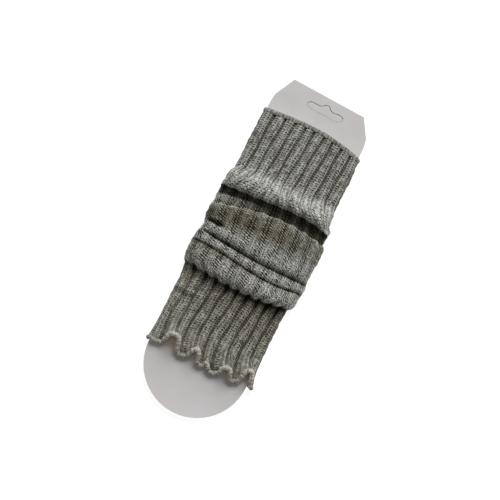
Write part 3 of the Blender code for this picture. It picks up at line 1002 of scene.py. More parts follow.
    def courses_down(self, smooth: Array, rings: Array) -> Array:
        """Courses from the seam down to each point, counted along the front's own fold path.

        Args:
            smooth: The leg's smooth rings.
            rings: All rings of the wall, which go on over the hem to its inside.

        Returns:
            Courses for every ring and column.
        """
        lines, course = self.path_rows.lines, self.path.gauge.course
        pairs = zip(lines, lines[1:], smooth[:, :, 0])
        along = np.array([self.line_y(after - before, x) for before, after, x in pairs])
        steps = np.hypot(along, np.diff(self.path_rows.height)[:, None]) / course
        down = np.concatenate([np.zeros_like(steps[:1]), np.cumsum(steps, axis=0)])
        down = np.concatenate([down, down[-1] + np.arange(1, self.hem_rows + 1)[:, None] / 2])
        rest = np.linalg.norm(np.diff(rings[len(down) - 1 :], axis=0), axis=2).mean(axis=1) / course
        return np.concatenate([down, down[-1] + np.cumsum(rest)[:, None]])

    def paint_light_and_shade(self, rings: Array) -> Array:
        """Painted light and shade at each point: 1 where plain, less in the folds' valleys and creases, more
        on their lit slopes.

        Args:
            rings: All rings of the wall.

        Returns:
            Painted brightness factors for every ring and column.
        """
        shade = np.ones(rings.shape[:2])
        front = 1.0 - soft_step(self.all_places, *self.shade_fades)
        lights = self.path_rows.lights
        aside = np.clip(rings[: len(front), :, 0] / self.line_reach, -1.0, 1.0)
        left, right = np.maximum(-aside, 0.0), np.maximum(aside, 0.0)
        across = lights[:, :1] * left + lights[:, 2:] * right + lights[:, 1:2] * (1 - left - right)
        # Painted highlights on the ribs' crowns where the painted shade is deep.
        on_rib = soft_step(self.from_groove(), *self.rib_face) - 0.5
        rib_highlight = self.rib_light * on_rib * (1.0 - soft_step(across, *self.rib_light_ends))
        leg = shade[: len(front)]
        leg += (across * (1.0 + rib_highlight) - 1.0) * front
        # The dents add painted shade, and lift the value toward a painted light where their mark is under 0.
        leg *= 1.0 - self.dent_shade_strength * np.clip(self.painted_dent_shade, 0.0, 1.0)
        leg += (self.lit_fold - leg) * np.clip(-self.painted_dent_shade, 0.0, 1.0)
        # Painted shadows under the hem's arches, darkening the outside.
        for painted_hem_shadow in self.painted_hem_shadows:
            near = ((rings[:, :, 0] - painted_hem_shadow.x) ** 2 + (rings[:, :, 1] - painted_hem_shadow.y) ** 2) / painted_hem_shadow.size**2
            shade *= 1.0 - self.painted_shadow_dark * np.exp(-near) * (rings[:, :, 2] > self.inside_top)
        return shade



@dataclass
class RolledWelt:
    """The narrow rolled band that ends the knitting at the top."""

    length: float = 3.6
    gap: float = 0.12
    proud: float = 0.55
    fullness: float = 0.7
    profile_steps: int = 12
    loop_relief: float = 0.25
    loop_slant: float = 1.2
    tuck: float = 0.8
    courses: float = 6.0
    # Painted shade over the whole welt, as a brightness factor.
    shelter: float = 0.85

    def doubled(self, ring: Array) -> Array:
        """A closed ring with one more point halfway between each two.

        Args:
            ring: The ring, one point or number a row.

        Returns:
            The ring with twice as many rows.
        """
        dense = np.empty((len(ring) * 2, *ring.shape[1:]))
        dense[0::2], dense[1::2] = ring, (ring + np.roll(ring, -1, axis=0)) / 2
        return dense

    def build(self, leg: KnitLeg, place: BoardPlace) -> bpy.types.Object:
        """Builds the band on the leg's first ring, moved on up the board.

        Args:
            leg: The built leg, for its first ring and wales.
            place: Where the board's axes lie in the frame.

        Returns:
            The new piece.
        """
        ring, wale = self.doubled(leg.seam_ring), self.doubled(leg.wales)
        wale[-1] = (leg.wales[-1] + (leg.path.gauge.total - leg.reach)) / 2
        places = np.repeat(leg.all_places[0], 2)
        to_side = soft_step(places, 1.0, 2.0)
        outward = np.stack([np.sign(ring[:, 0]) * to_side, 1 - to_side], 1)
        lift = 1.0 - soft_step(places, 2.0, 3.0)
        rings = []
        for step in range(self.profile_steps + 1):
            turn = math.pi * step / self.profile_steps
            along = self.gap + self.length * (1 - math.cos(turn)) / 2
            swell = math.sin(turn) ** self.fullness if 0 < step < self.profile_steps else 0.0
            slant = along / self.length * self.loop_slant
            loops = np.cos(2 * math.pi * (wale + slant)) * self.loop_relief * swell
            rise = (self.proud * swell - self.tuck * step / self.profile_steps * (1 - swell) + loops) * lift
            row = ring.copy()
            row[:, 1] += along
            row[:, 0] += outward[:, 0] * rise
            row[:, 2] += outward[:, 1] * rise
            rings.append(row)
        slot = self.doubled(leg.inside_ring(leg.seam_ring))
        for along in (self.gap + self.length, self.gap):
            row = slot.copy()
            row[:, 1] = leg.line_y(leg.path_rows.lines[0], row[:, 0]) + along
            rings.append(row)
        grid = np.array(rings)[::-1]
        across = np.append((wale + leg.reach) / leg.path.gauge.total, 1.0)
        down = np.arange(len(grid) + 1) / len(grid)
        # The welt's painted shade, the same all over.
        marks = {"shelter": np.full(grid.shape[:2], self.shelter)}
        return RingWall("rolled_welt", "stitches", grid, across, down, marks).build(place)


@dataclass
class OverlockRim:
    """The thread edging that is wound over the frilled hem.

    Attributes:
        radius: The rim's radius on the underside.
        front_extra: How much thicker it is on the front.
        sides: Points round its section.
        step: The length between two sections.
        thread: The thread's width along the rim.
        relief: How far the thread stands out.
        seat: How far the rim's centre lies outside the cloth's edge.
        uneven: The lengths of its small waves.
        wander: How far those waves go.
        lowest: The lowest centre on the front, over the board.
        floor: The lowest centre elsewhere.
        beside: The least distance from the middle beside the board.
        raised_from: Between which heights the thread turns from grey to beige.
        smoothings: How often the centre line is smoothed.
        windings: How often the thread goes round, once the rim is built.
    """

    radius: float = 1.1
    front_extra: float = 0.8
    sides: int = 12
    step: float = 0.22
    thread: float = 1.5
    relief: float = 0.06
    seat: float = 0.5
    uneven: tuple[float, ...] = (7.3, 3.7, 5.1, 2.6)
    wander: float = 0.2
    lowest: float = 6.0
    floor: float = 1.35
    beside: float = 45.7
    raised_from: tuple[float, float] = (5.5, 10.0)
    smoothings: int = 3
    windings: int = 0

    def centre_line(self, leg: KnitLeg) -> tuple[Array, Array, Array]:
        """The rim's centre, its way out from the cloth and its upward, at every column.

        Args:
            leg: The built leg, for its frilled edge.

        Returns:
            Three arrays with a point or direction for each column.
        """
        edge, places = leg.edge_points, leg.places
        to_back = soft_step(places, leg.side_place, 3.0)[:, None]
        upward = leg.edge_normals * (1 - to_back) + np.array((0.0, 0.0, -1.0)) * to_back
        tangent = np.roll(edge, -1, axis=0) - np.roll(edge, 1, axis=0)
        heading = np.cross(upward, tangent)
        heading /= np.linalg.norm(heading, axis=1, keepdims=True)
        heading *= -np.sign(heading[:, 1:2])
        centre = edge - upward * (leg.hem_wall / 2) + heading * self.seat
        centre[:, 2] = np.where(places < leg.side_place, np.maximum(centre[:, 2], self.floor), self.floor)
        front = places < leg.hem_front_place
        centre[front, 2] = np.maximum(centre[front, 2], self.lowest)
        side = (places >= leg.hem_front_place) & (places <= leg.side_place)
        centre[side, 0] = np.sign(centre[side, 0]) * np.maximum(np.abs(centre[side, 0]), self.beside)
        for _ in range(self.smoothings):
            centre = centre * 0.5 + (np.roll(centre, 1, axis=0) + np.roll(centre, -1, axis=0)) * 0.25
        return centre, heading, upward

    def build(self, leg: KnitLeg, place: BoardPlace) -> bpy.types.Object:
        """Sweeps the wound thread round the whole hem.

        Args:
            leg: The built leg, for its frilled edge.
            place: Where the board's axes lie in the frame.

        Returns:
            The new piece.
        """
        centre, heading, upward = self.centre_line(leg)
        run = path_run(np.vstack([centre, centre[:1]]))
        count = round(run[-1] / self.step)
        spots = np.arange(count) * run[-1] / count
        self.windings = round(run[-1] / self.thread)

        def resample(values: Array) -> Array:
            """Values at even steps along the rim."""
            looped = np.vstack([values, values[:1]])
            return np.stack([np.interp(spots, run, looped[:, k]) for k in range(3)], axis=1)

        line, out, up = resample(centre), resample(heading), resample(upward)
        tangent = np.roll(line, -1, axis=0) - np.roll(line, 1, axis=0)
        tangent /= np.linalg.norm(tangent, axis=1, keepdims=True)
        out -= tangent * (out * tangent).sum(axis=1, keepdims=True)
        out /= np.linalg.norm(out, axis=1, keepdims=True)
        up = np.cross(tangent, out)
        front = soft_step(line[:, 2], 2.0, 5.0)
        turns = 2 * math.pi * np.round(run[-1] / np.array(self.uneven)) / run[-1]
        waves = np.sin(spots[:, None] * turns + np.arange(len(self.uneven)))
        line = line + out * (waves[:, :2].sum(axis=1) * self.wander * front)[:, None]
        thick = self.radius + self.front_extra * front * (1.0 + waves[:, 2:].sum(axis=1) * self.wander)
        phase = 2 * math.pi * self.windings * spots / run[-1]
        rings = []
        for side in range(self.sides):
            turn = -2 * math.pi * side / self.sides
            radius = thick + self.relief * np.cos(phase + turn)
            rings.append(line + (out * math.cos(turn) + up * math.sin(turn)) * radius[:, None])
        grid = np.array(rings)
        across, down = np.arange(count + 1) / count, np.arange(self.sides + 1) / self.sides
        marks = {"raised": np.tile(soft_step(line[:, 2], *self.raised_from), (self.sides, 1))}
        return RingWall("overlock_rim", "thread", grid, across, down, marks, reverse=True).build(place)


@dataclass
class Board:
    """The flat display board with its uncut hang slot."""

    half_width: float = 43.75
    slot_line: tuple[tuple[float, float], ...] = (
        (-14.9, 234.8),
        (-14.0, 236.6),
        (-11.8, 237.5),
        (-4.0, 237.6),
        (-1.8, 238.8),
        (-0.3, 240.1),
        (1.4, 240.6),
        (3.3, 240.0),
        (5.1, 238.0),
        (6.4, 237.1),
        (15.8, 236.9),
        (17.4, 235.6),
        (17.5, 233.8),
        (15.8, 231.9),
        (2.0, 231.6),
        (-13.0, 232.8),
        (-14.8, 234.0),
    )
    line_width: float = 0.6
    line_rise: float = 0.15

    def build(self, place: BoardPlace) -> bpy.types.Object:
        """Lays the fine cut line of the hang slot on the board's header.

        Args:
            place: Where the board's axes lie in the frame.

        Returns:
            The new piece.
        """
        bpy.ops.object.select_all(action="DESELECT")
        curve = bpy.data.curves.new("hang_slot_line", "CURVE")
        curve.dimensions = "3D"
        curve.bevel_depth = self.line_width / 2 * MM
        curve.bevel_resolution = 1
        curve.resolution_u = 6
        spline = curve.splines.new("BEZIER")
        spline.bezier_points.add(len(self.slot_line) - 1)
        for point, (x, y) in zip(spline.bezier_points, self.slot_line):
            at = place.metres(np.array((x, y, 0.0)))
            point.co = (at[0], at[1], place.top)
            point.handle_left_type = point.handle_right_type = "AUTO"
        spline.use_cyclic_u = True
        line = bpy.data.objects.new("hang_slot_line", curve)
        bpy.context.scene.collection.objects.link(line)
        bpy.context.view_layer.objects.active = line
        line.select_set(True)
        bpy.ops.object.convert(target="MESH")
        piece = bpy.context.view_layer.objects.active
        flat = np.array([vertex.co for vertex in piece.data.vertices])
        flat[:, 2] = place.top + (flat[:, 2] - place.top) * self.line_rise
        piece.data.vertices.foreach_set("co", flat.astype(np.float32).ravel())
        piece.data.update()
        return piece


class Wire:
    """One node's result, which plain arithmetic carries on to the next node."""

    def __init__(self, desk: NodeDesk, socket: bpy.types.NodeSocket) -> None:
        """Keeps the socket, and the desk that the next node goes on."""
        self.desk = desk
        self.socket = socket

    def __add__(self, other: Wire | float) -> Wire:
        """The sum."""
        return self.desk.math("ADD", self, other)

    def __sub__(self, other: Wire | float) -> Wire:
        """The difference."""
        return self.desk.math("SUBTRACT", self, other)

    def __rsub__(self, other: float) -> Wire:
        """The difference from a plain number."""
        return self.desk.math("SUBTRACT", other, self)

    def __mul__(self, other: Wire | float) -> Wire:
        """The product."""
        return self.desk.math("MULTIPLY", self, other)

    def __truediv__(self, other: Wire | float) -> Wire:
        """The quotient."""
        return self.desk.math("DIVIDE", self, other)


class NodeDesk:
    """A short way to write a material's nodes."""

    def __init__(self, name: str, roughness: float, specular: float) -> None:
        """Starts a material with one Principled shader.

        Args:
            name: The material's name.
            roughness: The shader's roughness.
            specular: The shader's specular level.
        """
        self.material = bpy.data.materials.new(name)
        self.material.use_nodes = True
        self.tree = self.material.node_tree
        self.shader = self.tree.nodes["Principled BSDF"]
        self.set("Roughness", roughness)
        self.set("Specular IOR Level", specular)

    def set(self, socket: str, value: float | Colour) -> None:
        """Sets one of the shader's own sockets."""
        self.shader.inputs[socket].default_value = value

    def node(self, kind: str, *values: Any, **settings: Any) -> bpy.types.Node:
        """Adds a node, sets its properties and fills its inputs in order.

        Args:
            kind: The node's type.
            values: What goes into its first inputs.
            settings: Its properties.

        Returns:
            The node.
        """
        made = self.tree.nodes.new(kind)
        for key, value in settings.items():
            setattr(made, key, value)
        for socket, value in zip(made.inputs, values):
            self.plug(socket, value)
        return made

    def plug(self, socket: bpy.types.NodeSocket, value: Any) -> None:
        """Links a socket to a wire, or sets it to a value.

        Args:
            socket: A node's input.
            value: A wire, or a plain number or colour.
        """
        if isinstance(value, Wire):
            self.tree.links.new(value.socket, socket)
        else:
            socket.default_value = value

    def math(self, operation: str, *values: Wire | float, clamp: bool = False) -> Wire:
        """One math node, whose result stays between 0 and 1 if clamped."""
        made = self.node("ShaderNodeMath", *values, operation=operation, use_clamp=clamp)
        return Wire(self, made.outputs[0])

    def wave(self, phase: Wire) -> Wire:
        """A cosine."""
        return self.math("COSINE", phase)

    def zigzag(self, value: Wire, reach: float) -> Wire:
        """The value folded to and fro between 0 and reach."""
        return self.math("PINGPONG", value, reach)

    def ramp(self, value: Wire, low: float, high: float, start: float = 0.0, end: float = 1.0) -> Wire:
        """A soft step of value between low and high, from start to end."""
        made = self.node("ShaderNodeMapRange", value, low, high, start, end, interpolation_type="SMOOTHSTEP")
        return Wire(self, made.outputs[0])

    def mix(self, share: Wire, first: Wire | Colour, second: Wire | Colour) -> Wire:
        """A colour between two colours.

        Args:
            share: How much of the second colour there is.
            first: The first colour.
            second: The second colour.

        Returns:
            The mixed colour.
        """
        made = self.node("ShaderNodeMix", data_type="RGBA")
        for socket, value in zip((made.inputs[0], made.inputs[6], made.inputs[7]), (share, first, second)):
            self.plug(socket, value)
        return Wire(self, made.outputs[2])

    def tint(self, colour: Wire, brightness: Wire) -> Wire:
        """A colour multiplied by a brightness.

        Args:
            colour: The colour.
            brightness: What each of its numbers is multiplied by.

        Returns:
            The tinted colour.
        """
        made = self.node("ShaderNodeVectorMath", colour, operation="SCALE")
        self.plug(made.inputs["Scale"], brightness)
        return Wire(self, made.outputs[0])

    def product(self, first: Wire, second: Wire) -> Wire:
        """Two colours multiplied."""
        return Wire(self, self.node("ShaderNodeVectorMath", first, second, operation="MULTIPLY").outputs[0])

    def noise(self, scale: float, detail: float = 2.0, rough: float = 0.5, where: Wire | None = None) -> Wire:
        """A noise value.

        Args:
            scale: How many grains there are in a metre, or in one of where's units.
            detail: How many finer layers it has.
            rough: How strong they are.
            where: The position, the piece's own if none is given.

        Returns:
            The noise, from 0 to 1.
        """
        made = self.node("ShaderNodeTexNoise")
        settings = {"Vector": where or self.place(), "Scale": scale, "Detail": detail, "Roughness": rough}
        for socket, value in settings.items():
            self.plug(made.inputs[socket], value)
        return Wire(self, made.outputs["Fac"])

    def cell(self, x: Wire, y: Wire | float) -> Wire:
        """An even random value for each pair of whole numbers."""
        made = self.node("ShaderNodeTexWhiteNoise", self.join(x, y), noise_dimensions="2D")
        return Wire(self, made.outputs["Value"])

    def place(self) -> Wire:
        """The piece's own coordinates, in metres."""
        return Wire(self, self.node("ShaderNodeTexCoord").outputs["Object"])

    def split(self, vector: Wire) -> tuple[Wire, Wire]:
        """A vector's first two numbers."""
        parts = self.node("ShaderNodeSeparateXYZ", vector)
        return Wire(self, parts.outputs[0]), Wire(self, parts.outputs[1])

    def uv(self, name: str) -> tuple[Wire, Wire]:
        """The two numbers of a named UV map."""
        return self.split(Wire(self, self.node("ShaderNodeUVMap", uv_map=name).outputs[0]))

    def mark(self, name: str) -> Wire:
        """A named number that the piece's points carry."""
        return Wire(self, self.node("ShaderNodeAttribute", attribute_name=name).outputs["Fac"])

    def join(self, x: Wire, y: Wire | float) -> Wire:
        """A vector from two numbers."""
        return Wire(self, self.node("ShaderNodeCombineXYZ", x, y).outputs[0])

    def finish(
        self, piece: bpy.types.Object, colour: Wire, height: Wire, distance: float, strength: float
    ) -> None:
        """Plugs the colour and the bump in, and gives the material to a piece.

        Args:
            piece: The piece, whose old materials it replaces.
            colour: The base colour.
            height: The bump's height, from 0 to 1.
            distance: That height in metres.
            strength: The bump's strength.
        """
        self.plug(self.shader.inputs["Base Color"], colour)
        bump = self.node("ShaderNodeBump")
        for socket, value in {"Distance": distance, "Strength": strength, "Height": height}.items():
            self.plug(bump.inputs[socket], value)
        self.plug(self.shader.inputs["Normal"], Wire(self, bump.outputs[0]))
        if not piece.material_slots:
            piece.data.materials.append(self.material)
        for slot in piece.material_slots:
            slot.material = self.material


@dataclass(frozen=True)
class Stitches:
    """The wires that say where a point lies in the knit.

    Attributes:
        away: Wales from the middle of the nearest groove.
        signed: The same, under 0 on the groove's left.
        course: The course.
        opened: How far the purl wales are let go.
        shelter: The painted light and shade at the point.
    """

    away: Wire
    signed: Wire
    course: Wire
    opened: Wire
    shelter: Wire


@dataclass(frozen=True)
class HeatherKnit:
    """Heather grey rib knit: light and dark fibres spun together, painted brown shade in the holes between
    stitches and in the grooves.
    """

    # Colours of the fibres, of the painted shade in holes and grooves, of the yarn evened out where painted
    # light is strong, and of the painted tint in shade and in light

    light: Colour = (0.62, 0.628, 0.60, 1.0)
    middle: Colour = (0.335, 0.33, 0.298, 1.0)
    dark: Colour = (0.115, 0.102, 0.076, 1.0)
    hole_shade: Colour = (0.022, 0.018, 0.010, 1.0)
    even: Colour = (0.40, 0.40, 0.375, 1.0)
    shaded: Colour = (1.0, 0.95, 0.78, 1.0)
    sunlit: Colour = (0.98, 0.995, 1.0, 1.0)
    # Surface
    roughness: float = 0.95
    gloss: float = 0.1
    fuzz: float = 0.1
    fuzz_roughness: float = 0.5
    bump: float = 0.0006
    bump_strength: float = 0.8
    grain_share: float = 0.15
    # Noises, in grains to a metre
    cloud_scale: float = 60.0
    patch_scale: float = 130.0
    hole_scale: float = 260.0
    wobble_scale: float = 380.0
    ragged_scale: float = 420.0
    drift_scale: float = 610.0
    grain_scale: float = 2600.0
    # The yarn: shares of its mix, and where the mix turns pale or dark
    fibre_share: float = 0.44
    streak_share: float = 0.26
    cloud_share: float = 0.12
    stitch_share: float = 0.18
    pale_between: tuple[float, float] = (0.44, 0.66)
    dark_between: tuple[float, float] = (0.32, 0.46)
    # V stitches, in wales across and courses along
    stitch_middle: float = 2.0
    leg_slant: float = 0.6
    hole_along: tuple[float, float] = (0.12, 0.36)
    hole_across: tuple[float, float] = (0.20, 0.75)
    seam_width: float = 0.45
    seam_shade: float = 0.78
    knit_between: tuple[float, float] = (0.7, 1.2)
    raggedness: float = 0.9
    welt_knit: float = 0.85
    # Purl wales: bars in the closed grooves, slanting slots in the open ones
    bar_between: tuple[float, float] = (-0.2, 0.9)
    slot_slant: float = 0.9
    slots_per_wale: float = 1.5
    slot_rows: float = 0.62
    slot_columns: float = 0.38
    slot_edge: float = 0.26
    # What the painted light and shade of the folds changes
    loose_between: tuple[float, float] = (0.9, 1.3)
    loose_reach: tuple[float, float] = (0.6, 1.2)
    warm_between: tuple[float, float] = (0.4, 1.05)
    even_between: tuple[float, float] = (1.0, 1.5)
    even_share: float = 0.45
    slot_light: float = 0.55
    least_fullness: float = 0.06
    lower_leg_y: tuple[float, float] = (-0.045, -0.02)
    lower_leg_cool: float = 0.6

    def yarn(self, desk: NodeDesk, wale: Wire, course: Wire) -> Wire:
        """The spun yarn's mixed colour, which changes along each course.

        Args:
            desk: The material's desk.
            wale: The wale.
            course: The course.

        Returns:
            The colour.
        """
        streak = desk.noise(1.0, 2.0, 0.6, desk.join(wale * 0.16, course))
        fibre = desk.noise(1.3, 2.0, 0.6, desk.join(wale * 0.8, course * 1.1))
        cloud = desk.noise(self.cloud_scale)
        stitch = desk.cell(desk.math("FLOOR", wale), desk.math("FLOOR", course))
        blend = fibre * self.fibre_share + streak * self.streak_share
        blend = blend + cloud * self.cloud_share + stitch * self.stitch_share
        pale = desk.mix(desk.ramp(blend, *self.pale_between), self.middle, self.light)
        return desk.mix(desk.ramp(blend, *self.dark_between, 1.0, 0.0), pale, self.dark)

    def knit_wales(self, desk: NodeDesk, at: Stitches) -> Wire:
        """Fullness of the V stitches: light lines at the wales' edges, and a hole in each V and a line down
        its middle where painted shade shows.

        Args:
            desk: The material's desk.
            at: Where the point lies in the knit.

        Returns:
            The fullness, from 0 in a hole to 1.
        """
        leg = desk.math("ABSOLUTE", at.away - self.stitch_middle, clamp=True)
        gap = desk.ramp(desk.zigzag(at.course - leg * self.leg_slant, 0.5), *self.hole_along, 1.0, 0.0)
        hole = gap * desk.ramp(leg, *self.hole_across, 1.0, 0.35) * desk.ramp(at.opened, 0.0, 1.0, 1.0, 0.85)
        # Holes darken more where the painted light is strong.
        hole = desk.math("MULTIPLY", hole, desk.ramp(at.shelter, 1.15, 1.6, 1.0, 2.0), clamp=True)
        hole = hole * desk.ramp(desk.noise(self.hole_scale, 2.0, 0.7), 0.36, 0.62, 0.6, 1.2)
        return (1.0 - hole) * desk.ramp(leg, 0.0, self.seam_width, self.seam_shade, 1.0)

    def purl_wales(self, desk: NodeDesk, at: Stitches) -> Wire:
        """Fullness of the sunk purl wales: a groove that takes painted shade, or slanting slots where they
        open.

        Args:
            desk: The material's desk.
            at: Where the point lies in the knit.

        Returns:
            The fullness, from 0 in a slot to 1.
        """
        bars = desk.ramp(desk.wave(at.course * (2 * math.pi)), *self.bar_between)
        rows = desk.wave((at.course - at.signed * self.slot_slant) * (2 * math.pi))
        columns = desk.wave(at.signed * (2 * math.pi * self.slots_per_wale))
        slots = rows * self.slot_rows + columns * self.slot_columns
        # The slots widen where the painted shade is deep, so that it shows as more dark slots.
        mesh = desk.ramp(slots - desk.ramp(at.shelter, 0.35, 1.3, 0.18, -0.14), 0.0, self.slot_edge)
        patchy = desk.ramp(desk.noise(self.patch_scale, 2.0, 0.6), 0.35, 0.65, 0.22, 0.5)
        closed_share = bars * patchy + 0.03
        open_share = mesh * 0.95 + 0.01
        return closed_share + (open_share - closed_share) * at.opened

    def dress(self, piece: bpy.types.Object, leg: KnitLeg, courses: float, ribbed: bool) -> None:
        """Makes the material and gives it to a knitted piece.

        Args:
            piece: The piece, with a UV map named stitches and a mark of painted light and shade.
            leg: The built leg, for its gauge and for where the UV starts.
            courses: Courses over the UV's whole height.
            ribbed: Whether purl wales divide the knit into ribs.
        """
        desk = NodeDesk("heather_" + piece.name, self.roughness, self.gloss)
        rib = float(leg.path.gauge.wales)
        across, down = desk.uv("stitches")
        opened, shelter = desk.mark("opened"), desk.mark("shelter")
        loose = desk.ramp(shelter, *self.loose_between, *self.loose_reach)
        wobble, drift = desk.noise(self.wobble_scale, 1.0) - 0.5, desk.noise(self.drift_scale, 1.0) - 0.5
        wale = across * float(leg.path.gauge.total) - leg.reach + wobble * loose
        course = down * courses + drift * loose
        column = desk.math("FLOOR", (wale + 1.0) * 0.5)
        course = course + desk.cell(column, 0.0) * 0.5
        turned = desk.math("FRACT", wale / rib + 0.5)
        at = Stitches(desk.zigzag(wale, rib / 2), (turned - 0.5) * rib, course, opened, shelter)
        ragged = desk.noise(self.ragged_scale, 2.0, 0.7) - 0.5
        in_groove = 0.0 if ribbed else self.welt_knit
        knit = desk.ramp(at.away + ragged * self.raggedness, *self.knit_between, in_groove)
        purl = 1.0 - knit
        fullness = self.knit_wales(desk, at) * knit + self.purl_wales(desk, at) * purl
        # The lower leg takes more of the warm painted shade tint.
        beyond_folds = desk.ramp(desk.split(desk.place())[1], *self.lower_leg_y, self.lower_leg_cool, 1.0)
        # Painted light tint: warm where the painted shade is deep, cool where the painted light is strong.
        painted_light_tint = desk.mix(desk.ramp(shelter, *self.warm_between) * beyond_folds, self.shaded, self.sunlit)
        # Where the painted light is strong, the yarn is evened out toward one lit grey.
        evened = desk.ramp(shelter, *self.even_between, 0.0, self.even_share)
        blended = desk.mix(evened, self.yarn(desk, wale, course), self.even)
        # Painted light and shade multiply the colour, less so in the open slots.
        lit = desk.math("POWER", shelter, desk.ramp(purl * opened, 0.0, 1.0, 1.0, self.slot_light))
        # Holes and grooves take the painted shade colour where the yarn is thin.
        filled = fullness * (1 - self.least_fullness) + self.least_fullness
        colour = desk.tint(desk.mix(filled, self.hole_shade, blended), lit)
        desk.set("Sheen Weight", self.fuzz)
        desk.set("Sheen Roughness", self.fuzz_roughness)
        height = fullness * (1 - self.grain_share) + desk.noise(self.grain_scale, 1.0) * self.grain_share
        desk.finish(piece, desk.product(colour, painted_light_tint), height, self.bump, self.bump_strength)


@dataclass(frozen=True)
class OverlockThread:
    """Beige thread wound slantwise over the rim, greyer where the rim lies low."""

    beige: Colour = (0.56, 0.53, 0.45, 1.0)
    grey: Colour = (0.36, 0.345, 0.30, 1.0)
    # The thread's brightness in the painted shade between its windings.
    gap: float = 0.84
    roughness: float = 0.9
    gloss: float = 0.15
    fuzz: float = 0.3
    patch_scale: float = 700.0
    bump: float = 0.0003
    bump_strength: float = 0.35

    def dress(self, piece: bpy.types.Object, windings: int) -> None:
        """Makes the material and gives it to the rim.

        Args:
            piece: The rim, with a UV map named thread and a mark named raised.
            windings: How often the thread goes round.
        """
        desk = NodeDesk("overlock_thread", self.roughness, self.gloss)
        along, around = desk.uv("thread")
        strand = desk.ramp(desk.zigzag(along * float(windings) - around, 0.5), 0.02, 0.30)
        base = desk.mix(desk.mark("raised"), self.grey, self.beige)
        worn = desk.tint(base, desk.ramp(desk.noise(self.patch_scale, 3.0, 0.75), 0.34, 0.66, 0.62, 1.3))
        # Painted shade in the gaps between the windings.
        colour = desk.tint(worn, strand * (1 - self.gap) + self.gap)
        desk.set("Sheen Weight", self.fuzz)
        desk.finish(piece, colour, strand, self.bump, self.bump_strength)


@dataclass(frozen=True)
class BoardCard:
    """Smooth pale warm grey card with a faint mottle.

    Each pair of places is in metres along the board. Between them the card takes painted light toward its
    round end, painted shade on its header, and warm painted bounce light under the hem.
    """

    pale: Colour = (0.655, 0.632, 0.642, 1.0)
    deep: Colour = (0.635, 0.608, 0.612, 1.0)
    hem_bounce: Colour = (1.45, 1.33, 1.13, 1.0)
    plain: Colour = (1.0, 1.0, 1.0, 1.0)
    roughness: float = 0.62
    gloss: float = 0.25
    mottle_scale: float = 55.0
    grain_scale: float = 1800.0
    end_light: float = 1.26
    end_places: tuple[float, float] = (-0.146, -0.105)
    header_shade: float = 0.86
    header_places: tuple[float, float] = (0.10, 0.13)
    hem_places: tuple[float, float] = (-0.106, -0.099)
    hidden_places: tuple[float, float] = (-0.06, 0.0)
    bump: float = 0.00003
    bump_strength: float = 0.35

    def dress(self, piece: bpy.types.Object) -> None:
        """Gives the board its card in place of the plain CAD colour.

        Args:
            piece: The board's node.
        """
        desk = NodeDesk("board_card", self.roughness, self.gloss)
        _, along = desk.split(desk.place())
        mottle = desk.ramp(desk.noise(self.mottle_scale, 3.0, 0.6), 0.35, 0.65)
        # Painted light toward the round end and painted shade on the header.
        end = desk.ramp(along, *self.end_places, self.end_light, 1.0)
        header = desk.ramp(along, *self.header_places, 1.0, self.header_shade)
        colour = desk.tint(desk.mix(mottle, self.deep, self.pale), end * header)
        # Warm painted bounce light under the hem, faded out further up the board.
        under_hem = desk.mix(desk.ramp(along, *self.hem_places), self.plain, self.hem_bounce)
        colour = desk.product(colour, desk.mix(desk.ramp(along, *self.hidden_places), under_hem, self.plain))
        desk.finish(piece, colour, desk.noise(self.grain_scale), self.bump, self.bump_strength)


@dataclass(frozen=True)
class CutLine:
    """A painted shadow in the slot's cut line, dark brown on its upper side and faded on its lower side."""

    brown: Colour = (0.075, 0.055, 0.04, 1.0)
    faded: Colour = (0.46, 0.43, 0.42, 1.0)
    roughness: float = 0.8
    gloss: float = 0.5
    breakup_scale: float = 240.0
    upper_places: tuple[float, float] = (0.1318, 0.1340)
    bump: float = 0.00002
    bump_strength: float = 0.3

    def dress(self, piece: bpy.types.Object) -> None:
        """Gives the line its painted shadow, broken up by noise.

        Args:
            piece: The line.
        """
        desk = NodeDesk("cut_line", self.roughness, self.gloss)
        _, along = desk.split(desk.place())
        breakup = desk.noise(self.breakup_scale)
        # Painted shadow on the cut's upper side, broken up by noise.
        dark = desk.ramp(along, *self.upper_places) * desk.ramp(breakup, 0.35, 0.55, 0.65, 1.0)
        colour = desk.mix(dark, self.faded, self.brown)
        desk.finish(piece, colour, breakup, self.bump, self.bump_strength)


